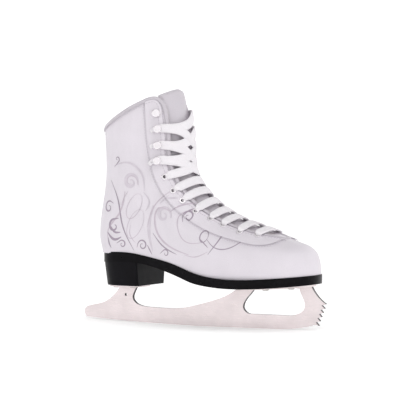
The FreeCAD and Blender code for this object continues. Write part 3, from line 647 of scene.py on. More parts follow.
class SKATE_OT_stage(bpy.types.Operator):
    """Floor that turns up all round, soft lights and the camera"""
    bl_idname = "skate.stage"
    bl_label = "Stage and camera"

    def execute(self, context):
        yaw, tilt = math.radians(28.0), math.radians(1.0)
        back = Vector((math.sin(yaw) * math.cos(tilt), -math.cos(yaw) * math.cos(tilt), math.sin(tilt)))
        target = Vector((0.0087, 0.0, 0.1262))
        clear_selection()
        bpy.ops.object.camera_add(location=target + back * 1.5)
        camera = context.object
        camera.rotation_mode = "QUATERNION"
        camera.rotation_quaternion = (-back).to_track_quat("-Z", "Y")
        camera.data.sensor_width = 36.0
        camera.data.lens = sizes().focal_length
        camera.data.clip_start, camera.data.clip_end = 0.05, 100.0
        context.scene.camera = camera

        profile = smooth([(0, 0), (2500, 0), (3200, 30), (3800, 330), (4100, 1000), (4200, 2600)], 60.0)

        def place(u, v):
            k = v * (len(profile) - 1)
            r, z = (np.interp(k, np.arange(len(profile)), profile[:, c]) for c in (0, 1))
            return np.stack([r * np.cos(2 * np.pi * u), r * np.sin(2 * np.pi * u), np.maximum(z, 0.0)], -1)
        floor = welded(shaped_grid("floor", 96, 60, place), 0.0001)
        faced(floor, lambda c: (-c.x * 0.2, -c.y * 0.2, 1.0))
        smoothed(floor, 60)
        material, shader, spot = start("white_paper_sweep")
        shader.inputs["Roughness"].default_value = 0.95
        shader.inputs["Emission Color"].default_value = (1.0, 1.0, 1.0, 1.0)
        shader.inputs["Emission Strength"].default_value = 0.36
        material.node_tree.links.new(mottled(material, spot, [0.9, 0.9, 0.9], 6.0, 0.99, 1.0),
                                     shader.inputs["Base Color"])
        dressed(floor, material, None)

        lamps = (("key", (0.5, -1.9, 2.9), 1.5, 9.0), ("left", (-2.4, -1.9, 1.5), 1.8, 1.6),
                 ("top", (1.5, -0.5, 2.2), 1.6, 13.0), ("rim", (0.6, 2.8, 1.6), 1.8, 1.5))
        for name, place_at, size, power in lamps:
            clear_selection()
            bpy.ops.object.light_add(type="AREA", location=place_at)
            lamp = context.object
            lamp.name = f"{name}_light"
            lamp.data.size = size
            lamp.data.energy = power
            aim = Vector((0, 0, 0.12)) - Vector(place_at)
            lamp.rotation_euler = aim.to_track_quat("-Z", "Y").to_euler()
        world = bpy.data.worlds.new("soft_white")
        world.use_nodes = True
        world.node_tree.nodes["Background"].inputs["Color"].default_value = (1.0, 1.0, 1.0, 1.0)
        world.node_tree.nodes["Background"].inputs["Strength"].default_value = 0.50
        context.scene.world = world
        context.scene.view_settings.view_transform = "Standard"
        return {"FINISHED"}


# ---------------------------------------------------------------- upper


def last_tube(name, depth, low, high, thickness, ripple=0.0):
    """The last's whole surface between two levels as a wall of a thickness, before it is trimmed."""
    surface = Last(depth)
    columns = 2 * sizes().columns
    levels = np.unique(np.r_[np.arange(low, min(132.0, high), 1.7), np.arange(132.0, high, 3.0), high])

    def place(u, v):
        z = np.interp(v * (len(levels) - 1), np.arange(len(levels)), levels)
        back, front = surface.back_x(z), surface.front_x(z)
        half_way = np.where(u <= 0.5, 2 * u, 2 - 2 * u)
        x = back + (front - back) * (1 - np.cos(np.pi * half_way)) / 2
        y = np.where(u <= 0.5, -surface.half(x, z, -1), surface.half(x, z, 1))
        soft = ripple * ease(z, 92, 125) * (1 - ease(z, 160, 200)) * ease(x, -100, -60)
        y = y * (1 - 0.006 * soft * (1 + np.sin(z * 0.33 + x * 0.21) * np.sin(x * 0.13)))
        return np.stack([x, y, z], -1)
    piece = welded(shaped_grid(name, columns, len(levels) - 1, place))
    faced(piece, lambda c: (0, c.y, 0))
    return finished(piece, "SOLIDIFY", thickness=thickness * MM, offset=-1.0, use_even_offset=False)


def below_rim(inset, sole_drop=1.5):
    """Prism below the collar, behind the throat and above the sole."""
    rim = rim_line(inset)
    sole = smooth(SOLE_TOP, 4.0) - [0, sole_drop]
    lift = (rim[-1][0] + 6, rim[-1][1] + 24)
    line = [*rim[::3], rim[-1], lift, (190, lift[1]), (190, sole[-1][1]), *sole[::-1], (-190, sole[0][1]),
            (-190, rim[0][1])]
    return side_prism("cutter", line)


def facing_zone(grow=0.0):
    """Prism in front of the facing seam."""
    seam = beside(smooth(FACING_SEAM, 1.5), grow)
    return side_prism("cutter", [*seam, (190, seam[-1][1]), (190, seam[0][1])])


def lacing_places(side):
    """Eyelet and hook places on the leather: point and outward normal."""
    points = [LEATHER.at_station(station, side * lateral) for station, lateral in EYELETS]
    for level in HOOK_LEVELS:
        front = float(LEATHER.front_x(level))
        sunk = float(sunk_to(lambda d: LEATHER.half(front - d, level, side), HOOK_LATERAL, 45.0))
        points.append(np.array([front - sunk, side * HOOK_LATERAL, level]))
    points = np.array(points)
    return points, LEATHER.normal(points[:, 0], points[:, 2], side)


def drills(radius=2.2):
    """Cylinders through the eyelet places."""
    made = []
    for side in (-1, 1):
        points, normals = lacing_places(side)
        for point, normal in list(zip(points, normals))[:len(EYELETS)]:
            clear_selection()
            bpy.ops.mesh.primitive_cylinder_add(vertices=20, radius=radius * MM, depth=14 * MM)
            pin = bpy.context.object
            turn = Vector(normal).to_track_quat("Z", "Y").to_matrix().to_4x4()
            turn.translation = Vector(point - normal * 2) * MM
            pin.data.transform(turn)
            made.append(pin)
    return joined("cutter", made)


class SKATE_OT_upper(bpy.types.Operator):
    """Leather upper in one wrapped sheet, drilled for the eyelets"""
    bl_idname = "skate.upper"
    bl_label = "Upper"

    def execute(self, context):
        upper = last_tube("upper_leather", 0.0, 50.0, 250.0, 2.0, ripple=1.0)
        cut_with(upper, below_rim(BINDING_CAP), "INTERSECT")
        cut_with(upper, drills(), "DIFFERENCE")
        dressed(smoothed(upper, 35), leather_finish("white_finished_calf", colours().leather))
        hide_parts("upper_shell")
        return {"FINISHED"}


def edged(piece, surface):
    """Paints the cut edges, which are the faces that stand square to the boot's surface, in a darker grey:
    edge paint together with painted shade along the facing's step.
    """
    paint = leather_finish("edge_paint_and_step_shade", colours().edge, 0.5)
    piece.data.materials.append(paint)
    centres = np.array([face.center for face in piece.data.polygons]) / MM
    looks = np.array([face.normal for face in piece.data.polygons])
    out = surface.normal(centres[:, 0], centres[:, 2], np.where(centres[:, 1] < 0, -1.0, 1.0))
    edge_shade_faces = (np.abs(np.einsum("ij,ij->i", looks, out)) < 0.35) & (np.abs(centres[:, 1]) > 3)
    for face, is_edge in zip(piece.data.polygons, edge_shade_faces):
        if is_edge:
            face.material_index = 1


class SKATE_OT_facings(bpy.types.Operator):
    """Leather facings that carry the eyelets, their backing and the strip over the back seam"""
    bl_idname = "skate.facings"
    bl_label = "Facings and back strip"

    def execute(self, context):
        leather = leather_finish("white_finished_calf_facing", colours().leather)
        facing = last_tube("facings", -1.3, 84.0, 250.0, 1.25)
        cut_with(facing, below_rim(BINDING_WIDTH - 0.6), "INTERSECT")
        cut_with(facing, facing_zone(), "INTERSECT")
        cut_with(facing, drills(), "DIFFERENCE")
        dressed(smoothed(facing, 35), leather)
        edged(facing, Last(-1.3))
        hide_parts("eyestay")
        backing = last_tube("facing_backing_leather", 2.2, 84.0, 250.0, 1.2)
        cut_with(backing, below_rim(BINDING_CAP), "INTERSECT")
        cut_with(backing, facing_zone(-0.3), "INTERSECT")
        cut_with(backing, drills(2.6), "DIFFERENCE")
        dressed(smoothed(backing, 35), board_finish("split_leather_backing", colours().lining))
        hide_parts("facing_backing")

        surface = Last(-1.3)

        def place(u, v):
            z = 77.5 + (204.5 - 77.5) * v
            y = (u - 0.5) * 18.0 * (1 - 0.06 * np.cos(np.pi * v) ** 8)
            back = surface.back_x(z)
            sunk = sunk_to(lambda d: surface.half(back + d, z, y), np.abs(y), 20.0)
            return np.stack([back + sunk, y, z], -1)
        stay = faced(shaped_grid("back_strip", 14, 70, place), lambda c: (-1, 0, 0))
        finished(stay, "SOLIDIFY", thickness=1.25 * MM, offset=-1.0)
        finished(stay, "BEVEL", width=0.45 * MM, segments=2, limit_method="ANGLE",
                 angle_limit=math.radians(50))
        dressed(smoothed(stay, 35), leather)
        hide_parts("backstay")
        return {"FINISHED"}


def rim_loop(step=1.6):
    """Closed line along the collar and throat: points, the way off the leather's edge and outward normals."""
    line = rim_line()
    line = line[line[:, 0] > LEATHER.back_x(line[:, 1])]
    fine = resampled(line, 0.1)
    halves = []
    for side in (-1, 1):
        points = LEATHER.on(fine[:, 0], fine[:, 1], side)
        points[0, 1] = points[-1, 1] = 0.0
        halves.append((points, LEATHER.normal(fine[:, 0], fine[:, 1], side)))
    points = np.vstack([halves[0][0], halves[1][0][::-1][1:]])
    normals = np.vstack([halves[0][1], halves[1][1][::-1][1:]])
    both = resampled(np.hstack([points, normals * 0.001]), step)
    points, normals = both[:, :3], unit(both[:, 3:])
    for _ in range(6):
        ring = normals[:-1]
        ring = unit(np.roll(ring, 1, 0) + 2 * ring + np.roll(ring, -1, 0))
        normals = np.vstack([ring, ring[:1]])
    ring = points[:-1]
    along = unit(np.roll(ring, -1, 0) - np.roll(ring, 1, 0))
    along = np.vstack([along, along[:1]])
    across = unit(np.cross(along, normals))
    outward = unit(np.cross(across, along))
    return points, across, outward


class SKATE_OT_binding(bpy.types.Operator):
    """Padded strip sewn round the collar and down the throat"""
    bl_idname = "skate.binding"
    bl_label = "Rim binding"

    def execute(self, context):
        points, across, outward = rim_loop()
        sign = 1.0 if across[len(points) // 4, 2] > 0 else -1.0
        depth_at = through([(90, 4.4), (226, 4.4), (238, 6.9), (250, 6.9)])

        def profile(t):
            point = points[min(len(points) - 1, int(round(t * (len(points) - 1))))]
            deep = float(depth_at(point[2])) if point[0] > -60 else 6.9
            wide = BINDING_WIDTH
            outline = [(-wide, 0.05), (-wide - 0.1, 0.65), (-wide + 0.5, 1.12), (-2.4, 1.25), (-1.0, 0.95),
                       (-0.25, 0.2), (0.0, -deep * 0.4), (-0.25, -deep + 1.2), (-1.0, -deep + 0.25),
                       (-2.4, -deep), (-wide + 0.4, -deep + 0.05), (-wide, -deep + 0.5), (-wide, -deep + 1.0),
                       (-1.8, -deep + 1.1), (-1.5, -deep / 2), (-1.7, 0.0)]
            return [(w * sign, n) for w, n in outline]
        binding = swept("rim_binding", points, across, outward, profile, closed=True)
        dressed(smoothed(binding, 50), leather_finish("soft_binding_leather", colours().binding, 0.5, 0.7))
        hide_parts("collar_binding", "throat_binding")
        return {"FINISHED"}


class SKATE_OT_lining(bpy.types.Operator):
    """Cloth lining of the boot and its foam insole"""
    bl_idname = "skate.lining"
    bl_label = "Lining and insole"

    def execute(self, context):
        cloth = woven_finish("brushed_lining_cloth", colours().lining)
        lining = last_tube("lining_cloth", 4.6, 58.0, 250.0, 1.2)
        cut_with(lining, below_rim(BINDING_CAP), "INTERSECT")
        cut_with(lining, facing_zone(0.4), "DIFFERENCE")
        dressed(smoothed(lining, 40), cloth)
        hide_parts("lining")

        source = NODES["sockliner"]
        insole = bpy.data.objects.new("foam_insole", source.data.copy())
        context.scene.collection.objects.link(insole)
        welded(insole, 0.00001)
        finished(insole, "REMESH", mode="VOXEL", voxel_size=0.0016)
        finished(insole, "SMOOTH", factor=0.5, iterations=4)
        dressed(smoothed(insole, 60), woven_finish("insole_cloth", colours().lining))
        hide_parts("sockliner")
        return {"FINISHED"}


# ---------------------------------------------------------------- tongue


class SKATE_OT_tongue(bpy.types.Operator):
    """Padded tongue, in one piece from its toe end to the flap above the collar"""
    bl_idname = "skate.tongue"
    bl_label = "Tongue"

    def execute(self, context):
        surface = Last(5.7)
        low = float(np.interp(-97.0, -surface.ridge[:, 0], surface.run))
        top_line = smooth(TONGUE_TOP, 1.0)
        rise = sizes().tongue_rise / MM
        nudge = 0.4

        def skin(u, v, depth):
            reach = 29.6 - 8.2 * ease(v, 0.72, 0.93)
            lateral = (u - 0.5) * 2 * reach
            stations = np.linspace(low, surface.run[-1], 160)
            grid = surface.at_station(stations[:, None], np.linspace(-29.6, 29.6, 41)[None, :])
            aside = np.linspace(-1.4, 1.4, 41)
            corner = np.where(aside < 0, 5.0, 1.4) * np.abs(aside) ** 1.4
            over = grid[..., 2] - np.interp(grid[..., 0], top_line[:, 0], top_line[:, 1]) + corner
            top = np.array([np.interp(0.0, over[100:, k], stations[100:]) for k in range(41)])
            station = low + (np.interp(lateral, np.linspace(-29.6, 29.6, 41), top) - low) * v
            point = surface.at_station(station, lateral)
            ahead = surface.at_station(station + nudge, lateral)
            beyond = surface.at_station(station, np.clip(lateral + nudge, -35, 35))
            out = unit(np.cross(ahead - point, beyond - point))
            out *= np.sign(out[..., :1] * 1.0 + out[..., 2:] * 0.6)
            crown = (1 - np.abs(lateral / 22.0) ** 2).clip(0) * rise * ease(v, 0.0, 0.12)
            flap = -2.6 * ease(point[..., 2], 225, 245)
            edge = np.minimum(np.minimum(u, 1 - u) * 2 * reach, (1 - v) * 190)
            roll = 2.6 * (1 - np.sqrt(np.clip(1 - (1 - np.clip(edge / 3.4, 0, 1)) ** 2, 0, 1)))
            sink = depth - roll + flap * 0.9 - crown * 0.5 if depth else -crown + flap + roll
            return point - out * sink[..., None]

        def place(u, v):
            both = u * 2
            return np.where((both <= 1)[:, None], skin(np.clip(both, 0, 1), v, 0),
                            skin(np.clip(2 - both, 0, 1), v, 6.4))
        tongue = shaped_grid("padded_tongue", 88, 90, place)
        choose(tongue)
        bpy.ops.object.mode_set(mode="EDIT")
        bpy.ops.mesh.select_all(action="SELECT")
        bpy.ops.mesh.remove_doubles(threshold=0.00005)
        bpy.ops.mesh.select_all(action="DESELECT")
        bpy.ops.mesh.select_non_manifold()
        bpy.ops.mesh.bridge_edge_loops()
        bpy.ops.object.mode_set(mode="OBJECT")
        welded(tongue, 0.00005, recalculate=True)
        dressed(smoothed(tongue, 70), leather_finish("soft_tongue_leather", colours().tongue, 0.5, 0.8), None)
        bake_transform(tongue)
        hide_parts("tongue_cover", "tongue_foam", "tongue_lining", "flap_cover", "flap_foam",
                    "flap_lining")
        return {"FINISHED"}


# ---------------------------------------------------------------- lace


def ribbon(name, points, outward, widths, thickness):
    """A flat strip with rounded edges along points; widths has one value for each point."""
    points = np.array(points, float)
    along = tangents(points)
    across = unit(np.cross(along, outward))
    outward = unit(np.cross(across, along))

    def profile(t):
        w = np.interp(t, np.linspace(0, 1, len(widths)), widths) / 2
        h = thickness / 2
        return [(-w, -h * 0.3), (-w * 0.9, -h), (w * 0.9, -h), (w, -h * 0.3), (w, h * 0.3), (w * 0.9, h),
                (w * 0.35, h * 1.15), (-w * 0.35, h * 1.15), (-w * 0.9, h), (-w, h * 0.3)]
    piece = swept(name, points, across, outward, profile)
    run = arc_length(points)
    layer = piece.data.uv_layers.new(name="lace")
    spots = np.array([v.co for v in piece.data.vertices]) / MM
    nearest = np.array([np.argmin(np.sum((points - spot) ** 2, 1)) for spot in spots])
    beyond = np.einsum("ij,ij->i", spots - points[nearest], along[nearest])
    aside = np.einsum("ij,ij->i", spots - points[nearest], across[nearest])
    for loop in piece.data.loops:
        k = loop.vertex_index
        layer.data[loop.index].uv = (run[nearest[k]] + beyond[k]) * MM, aside[k] * MM
    return piece


def laced(path, step=1.2):
    """Smooth line of surface points from (station, lateral, depth) stops, with the surface's normals."""
    fine = smooth(path, 0.8)
    points = LEATHER.at_station(fine[:, 0], fine[:, 1])
    step_on = LEATHER.at_station(fine[:, 0] + 0.5, fine[:, 1])
    step_by = LEATHER.at_station(fine[:, 0], fine[:, 1] + 0.5)
    out = np.cross(step_on - points, step_by - points)
    flat = np.linalg.norm(out, axis=1) < 1e-6
    out[flat] = LEATHER.normal(points[flat, 0], points[flat, 2], np.sign(points[flat, 1]))
    out = unit(out)
    out *= np.sign(np.einsum("ij,ij->i", out, points - [-60, 0, 100]))[:, None]
    both = np.hstack([points - out * fine[:, 2:], out * 0.001])
    both = resampled(both, step)
    return both[:, :3], unit(both[:, 3:])


def hook_station(level):
    """Ridge station of the hook places."""
    spots = np.linspace(200, LEATHER.run[-1] - 2, 481)
    line = LEATHER.at_station(spots, -HOOK_LATERAL)
    return float(spots[np.argmin(np.abs(line[:, 2] - level))])


class SKATE_OT_lace(bpy.types.Operator):
    """Flat lace: straight bars over the eyelets, slanted runs inside and crossed runs round the hooks"""
    bl_idname = "skate.lace"
    bl_label = "Lace"

    def execute(self, context):
        wide, thick = sizes().lace_width / MM, sizes().lace_thickness / MM
        stops = EYELETS + [(hook_station(level), HOOK_LATERAL) for level in HOOK_LEVELS]
        rows = len(EYELETS)
        strands = []

        def bar(name, a, b, wander, ends=("hole", "hole")):
            """One run from stop a on the -Y side to stop b on the +Y side."""
            path = []
            for (station, lateral), side, end in ((stops[a], -1, ends[0]), (stops[b], 1, ends[1])):
                if end == "hole":
                    leg = [(station, side * (lateral - 0.5), 6.0), (station, side * (lateral - 0.9), -0.4),
                           (station, side * (lateral - 2.0), -2.6), (station, side * (lateral - 6.0), -3.0)]
                else:
                    leg = [(station - 2.0, side * (lateral + 3.2), -3.3),
                           (station, side * (lateral + 2.2), -3.5), (station, side * (lateral - 4.0), -3.4)]
                path.append(leg)
            s0, s1 = stops[a][0], stops[b][0]
            middle = [(s0 + (s1 - s0) * f + wander * math.sin(math.pi * f), (2 * f - 1) * 16.0, -2.5) for f in
                      (0.25, 0.5, 0.75)]
            points, outward = laced([*path[0], *middle, *path[1][::-1]])
            t = np.linspace(0, 1, 41)
            narrow = np.minimum(t, 1 - t)
            widths = np.interp(narrow, [0, 0.075, 0.15, 0.5], [2.6, 3.0, wide * 0.9, wide])
            if "hook" in ends:
                widths = np.interp(narrow, [0, 0.04, 0.13, 0.5], [4.0, 5.0, wide * 0.92, wide])
            strands.append(ribbon(name, points, outward, widths, thick))

        for i in range(rows - 1):
            bar(f"bar_{i}", i, i, 0.6 * math.sin(i * 2.3))
            if i + 2 < rows:
                (s1, l1), (s0, l0) = stops[i], stops[i + 1]
                points, outward = laced([(s0, -l0, 5.0), (s0, -(l0 - 5), 4.6), ((s0 + s1) / 2, 0, 4.4),
                                         (s1, l1 - 5, 4.6), (s1, l1, 5.0)])
                strands.append(ribbon(f"inside_{i}", points, outward, [4.5, 5.5, 4.5], thick * 0.7))
        for i in range(rows - 1, len(stops) - 2):
            ends = "hole" if i < rows else "hook"
            bar(f"cross_up_{i}", i, i + 1, -2.0, (ends, "hook"))
            bar(f"cross_down_{i}", i + 1, i, -5.0, ("hook", ends))
        bar("top_run", len(stops) - 2, len(stops) - 1, -4.5, ("hook", "hook"))
        lace = joined("lace_braid", strands)
        dressed(smoothed(lace, 50), lace_finish(colours().lace))
        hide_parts("lace")
        return {"FINISHED"}


# ---------------------------------------------------------------- stitching and print


def seam_on(line, side, depth, step):
    """Places along a side-view line on one side of a layer: points, directions and normals."""
    surface = Last(depth)
    fine = resampled(line, 0.3)
    keep = surface.half(fine[:, 0], fine[:, 1], side) > 0.4
    fine = fine[keep]
    points = resampled(surface.on(fine[:, 0], fine[:, 1], side), step)
    return points, tangents(points), surface.normal(points[:, 0], points[:, 2], side)


class SKATE_OT_stitching(bpy.types.Operator):
    """Rows of stitches along the facings, the bindings and the back strip"""
    bl_idname = "skate.stitching"
    bl_label = "Stitching"

    def execute(self, context):
        pitch, thread = sizes().stitch_pitch / MM, sizes().thread / MM
        clear_selection()
        bpy.ops.mesh.primitive_uv_sphere_add(segments=6, ring_count=5, radius=1.0)
        stitch = bpy.context.object
        shape = np.array([v.co for v in stitch.data.vertices])
        faces = [tuple(p.vertices) for p in stitch.data.polygons]
        bpy.data.objects.remove(stitch)
        seam = beside(smooth(FACING_SEAM, 1.0), -1.6)
        seam = seam[seam[:, 1] < SEAM_TOP]
        rim = rim_line(BINDING_WIDTH - 1.0)
        rows = []
        for side in (-1, 1):
            rows.append(seam_on(seam, side, -1.4, pitch))
            rows.append(seam_on(rim, side, -1.25, pitch))
            rows.append(seam_on(rim_line(BINDING_WIDTH + 1.6), side, -1.35, pitch))
        surface = Last(-1.35)
        for y in (-7.4, 7.4):
            z = np.linspace(80, 202, 200)
            side = -1 if y < 0 else 1
            x = np.empty_like(z)
            for k, level in enumerate(z):
                tries = surface.back_x(level) + np.linspace(0, 12, 160)
                x[k] = tries[np.argmin(np.abs(surface.half(tries, level, side) - abs(y)))]
            points = resampled(smooth(surface.on(x, z, side)[::16], 1.0), pitch)
            rows.append((points, tangents(points), surface.normal(points[:, 0], points[:, 2], side)))
        vertices, polygons = [], []
        for points, along, outward in rows:
            across = unit(np.cross(along, outward))
            for p, a, c, n in zip(points, along, across, outward):
                base = len(vertices)
                vertices += list((p + shape[:, 2:] * a * pitch * 0.39 + shape[:, :1] * c * thread * 0.5
                                  + shape[:, 1:2] * n * thread * 0.45) * MM)
                polygons += [tuple(base + k for k in face) for face in faces]
        mesh = bpy.data.meshes.new("stitching")
        mesh.from_pydata([tuple(v) for v in vertices], [], polygons)
        piece = bpy.data.objects.new("stitching", mesh)
        context.scene.collection.objects.link(piece)
        welded(piece, 0.000001, recalculate=True)
        dressed(smoothed(piece, 80), woven_finish("waxed_thread", colours().thread, 0.5, 0.00005))
        return {"FINISHED"}


def loop(x, z, wide, high, turn):
    """A slanted oval that closes on itself."""
    a = np.linspace(0, 2 * np.pi, 48)
    c, s = math.cos(math.radians(turn)), math.sin(math.radians(turn))
    return np.stack([x + c * wide * np.cos(a) - s * high * np.sin(a),
                     z + s * wide * np.cos(a) + c * high * np.sin(a)], 1)


def scroll(stem, radius=0.0, turns=0.0, hand=1):
    """A stem through its points, with a curl that winds in from its end, to the left for hand 1."""
    line = smooth(stem)
    if not radius:
        return line
    heading = math.atan2(line[-1, 1] - line[-2, 1], line[-1, 0] - line[-2, 0])
    t = np.linspace(0, 1, int(26 * turns) + 8)[1:, None]
    angle = heading - hand * math.pi / 2 * (1 - 4 * turns * t)
    centre = line[-1] - radius * np.array([math.cos(heading - hand * math.pi / 2),
                                           math.sin(heading - hand * math.pi / 2)])
    return np.vstack([line, centre + radius * (1 - 0.8 * t) * np.hstack([np.cos(angle), np.sin(angle)])])


FAINT, LIGHT, DARK = 0, 1, 2


def scrolls():
    """The scroll print in the side view: line, greatest width and tone."""
    return [
        # round the heel
        (scroll([(-89, 170), (-82, 176)], 3.2, 1.0), 1.5, DARK),
        (scroll([(-95, 156), (-83, 133), (-79, 110), (-64, 81)]), 1.9, DARK),
        (scroll([(-74, 144), (-83, 119), (-98, 99), (-97, 90)]), 2.3, LIGHT),
        (scroll([(-90, 131), (-94, 133)], 7.0, 1.1), 2.4, DARK),
        (scroll([(-83, 115), (-90, 114)], 7.5, 0.9), 3.0, DARK),
        (scroll([(-80, 95), (-88, 92), (-98, 100)]), 3.2, DARK),
        (scroll([(-81, 100), (-88, 100), (-93, 106)]), 2.6, DARK),
        (scroll([(-86, 88), (-81, 91)], 4.4, 1.1, -1), 1.8, DARK),
        (scroll([(-93, 83), (-96, 88), (-97, 94)]), 2.0, DARK),
        # the quarter, with its two ovals
        (scroll([(-90, 171), (-67, 174), (-52, 161), (-50, 144)]), 2.6, FAINT),
        (scroll([(-57, 151), (-57, 154)], 9.5, 1.3), 4.2, FAINT),
        (scroll([(-58, 151), (-58, 154)], 8.5, 0.8), 1.2, LIGHT),
        (loop(-63, 128, 15, 7.5, 58), 0.9, LIGHT),
        (loop(-62, 109, 17, 8.5, 62), 0.9, LIGHT),
        (scroll([(-60, 84), (-59, 88)], 6.0, 1.3, -1), 1.9, DARK),
        (scroll([(-47, 87), (-41, 77)]), 1.6, DARK),
        (scroll([(-51, 143), (-44, 133), (-49, 123)]), 2.2, FAINT),
        (scroll([(-79, 129), (-76, 136), (-70, 144)]), 1.1, LIGHT),
        (scroll([(-62, 89), (-69, 98), (-68, 108)]), 1.1, LIGHT),
        # the vine over the arch
        (scroll([(-39, 129), (-45, 106), (-40, 80)]), 4.4, FAINT),
        (scroll([(-19, 144), (-38, 128), (-47, 106)]), 1.6, LIGHT),
        (scroll([(-17, 116), (-17, 119)], 9.0, 1.2), 4.6, FAINT),
        (scroll([(-17, 123), (-33, 126), (-37, 108), (-20, 87), (7, 78)]), 2.5, LIGHT),
        (scroll([(-40, 100), (-28, 87), (-9, 78)]), 1.7, DARK),
        (scroll([(-17, 123), (-7, 129), (8, 132)]), 2.2, LIGHT),
        (scroll([(-31, 131), (-20, 140)]), 2.0, FAINT),
        (scroll([(-24, 137), (-11, 137)]), 2.2, FAINT),
        (scroll([(-31, 78), (-26, 82)], 4.2, 1.0, -1), 1.5, DARK),
        (scroll([(1, 78), (14, 76), (32, 82)]), 1.2, LIGHT),
        # the open ring and the small loop beside it
        (scroll([(12, 125), (-7, 118), (-2, 95), (28, 92)]), 1.3, LIGHT),
        (scroll([(-2, 112), (-3, 116)], 6.8, 1.3, -1), 1.9, DARK),
        (scroll([(14, 126), (3, 124), (-2, 118)]), 1.7, DARK),
        (scroll([(39, 121), (45, 103), (32, 79)]), 1.7, DARK),
        (loop(25.5, 97.5, 4.6, 6.0, -15), 1.6, DARK),
        (scroll([(29, 95), (40, 86), (58, 87), (75, 102)]), 1.3, DARK),
        (scroll([(21, 95), (32, 86)]), 1.3, DARK),
        (scroll([(66, 95), (80, 92), (94, 97)]), 1.1, LIGHT),
    ]


class SKATE_OT_scrolls(bpy.types.Operator):
    """Scroll print on the sides of the boot, in three tones"""
    bl_idname = "skate.scrolls"
    bl_label = "Scroll print"

    def execute(self, context):
        seam = smooth(FACING_SEAM, 1.0)
        for name, tone, rgb in (("scroll_print_faint", FAINT, colours().print_faint),
                                ("scroll_print_light", LIGHT, colours().print_light),
                                ("scroll_print_dark", DARK, colours().print_dark)):
            strips = []
            for side in (-1, 1):
                leather, facing = Last(-0.05 - 0.02 * tone), Last(-1.36 - 0.02 * tone)
                for line, width, drawn_in in scrolls():
                    if drawn_in != tone:
                        continue
                    line = resampled(line, 0.8)
                    t = np.linspace(0, 1, len(line))
                    half = width * 0.43 * (0.25 + 0.75 * np.sin(np.pi * np.clip(t * 0.96 + 0.02, 0, 1)))
                    left, right = (line + unit(np.c_[-tangents(line)[:, 1], tangents(line)[:, 0]])
                                   * half[:, None] * s for s in (-1, 1))

                    def place(u, v, left=left, right=right, side=side):
                        i = np.rint(u * (len(left) - 1)).astype(int)
                        x, z = (left[i] * (1 - v[:, None]) + right[i] * v[:, None]).T
                        ahead = (x > np.interp(z, seam[::-1, 1], seam[::-1, 0]))[:, None]
                        return np.where(ahead, facing.on(x, z, side), leather.on(x, z, side))
                    strip = shaped_grid("strip", len(line) - 1, 2, place)
                    strips.append(faced(strip, lambda c, side=side: (0, side, 0)))
            piece = joined(name, strips)
            material, shader, place_at = start(name.replace("scroll_print", "screen_ink"))
            material.node_tree.links.new(mottled(material, place_at, rgb, 160.0, 0.93, 1.05),
                                         shader.inputs["Base Color"])
            shader.inputs["Roughness"].default_value = 0.45
            pores = add(material, "ShaderNodeTexNoise", {"Vector": place_at, "Scale": 1800.0, "Detail": 2.0})
            bumped(material, shader, [(pores.outputs["Fac"], 0.00003, 0.3)])
            dressed(smoothed(piece, 60), material)
        return {"FINISHED"}


# ---------------------------------------------------------------- sole, blade and metal parts


class SKATE_OT_bottoms(bpy.types.Operator):
    """Finishes of the outsole, the heel and the boards inside"""
    bl_idname = "skate.bottoms"
    bl_label = "Sole and heel"

    def execute(self, context):
        refinished(polished_finish("waxed_black_sole_leather", colours().sole, 0.3), "outsole")
        refinished(polished_finish("waxed_stacked_heel", colours().heel, 0.34, layers=0.0045), "heel_block")
        refinished(board_finish("fibre_board", linear("#B9A27F")),
                   "insole_board", "toe_box", "side_stiffener", "heel_counter")
        refinished(woven_finish("padding_foam", linear("#D9D2C4"), 1.2), "ankle_padding")
        return {"FINISHED"}


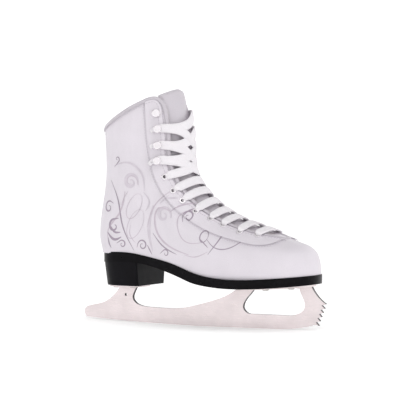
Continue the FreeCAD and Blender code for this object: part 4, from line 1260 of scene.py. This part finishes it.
class SKATE_OT_metalwork(bpy.types.Operator):
    """Finishes of the blade, its plates and screws, the shank and the lacing metal"""
    bl_idname = "skate.metalwork"
    bl_label = "Blade and metal parts"

    def execute(self, context):
        # the blade's darker edge colour is a painted reflection of dark surroundings on its edges
        refinished(steel_finish("satin_plated_blade_steel", colours().steel, edge=linear("#4A4548")),
                   "blade_runner")
        refinished(steel_finish("satin_plated_plate_steel", colours().steel), "sole_plate", "heel_plate")
        refinished(steel_finish("zinc_plated_screw_steel", linear("#C9C5C2"), 0.35, (900.0, 900.0, 900.0)),
                   "sole_plate_screws", "heel_plate_screws", "heel_nails", "shank")
        enamel, shader, place = start("white_enamelled_brass")
        shader.inputs["Roughness"].default_value = 0.22
        shader.inputs["Metallic"].default_value = 0.55
        shader.inputs["Coat Weight"].default_value = 0.6
        wear = add(enamel, "ShaderNodeTexNoise", {"Vector": place, "Scale": 420.0, "Detail": 4.0})
        enamel.node_tree.links.new(mottled(enamel, place, linear("#E9E4E8"), 150.0, 0.93, 1.02),
                                   shader.inputs["Base Color"])
        bumped(enamel, shader, [(wear.outputs["Fac"], 0.00004, 0.3)])
        refinished(enamel, "eyelets_outer_side", "eyelets_inner_side", "hooks_outer_side", "hooks_inner_side")
        return {"FINISHED"}


class SKATE_PT_panel(bpy.types.Panel):
    """Buttons that build the skate step by step"""
    bl_idname = "SKATE_PT_panel"
    bl_label = "Figure skate"
    bl_space_type = "VIEW_3D"
    bl_region_type = "UI"
    bl_category = "Skate"

    def draw(self, context):
        for group in (context.scene.skate_sizes, context.scene.skate_colours):
            for key in group.__annotations__:
                self.layout.prop(group, key)
        for step in STEPS:
            self.layout.operator(step.bl_idname)


STEPS = (SKATE_OT_stage, SKATE_OT_lace, SKATE_OT_upper, SKATE_OT_facings, SKATE_OT_binding, SKATE_OT_lining,
         SKATE_OT_tongue, SKATE_OT_stitching, SKATE_OT_scrolls, SKATE_OT_bottoms, SKATE_OT_metalwork)
CLASSES = (SKATE_PG_sizes, SKATE_PG_colours, *STEPS, SKATE_PT_panel)


def register():
    for cls in CLASSES:
        bpy.utils.register_class(cls)
    bpy.types.Scene.skate_sizes = PointerProperty(type=SKATE_PG_sizes)
    bpy.types.Scene.skate_colours = PointerProperty(type=SKATE_PG_colours)


def unregister():
    del bpy.types.Scene.skate_colours
    del bpy.types.Scene.skate_sizes
    for cls in reversed(CLASSES):
        bpy.utils.unregister_class(cls)


def main():
    register()
    for step in STEPS:
        group, _, name = step.bl_idname.partition(".")
        getattr(getattr(bpy.ops, group), name)()


if __name__ == "__main__":
    main()
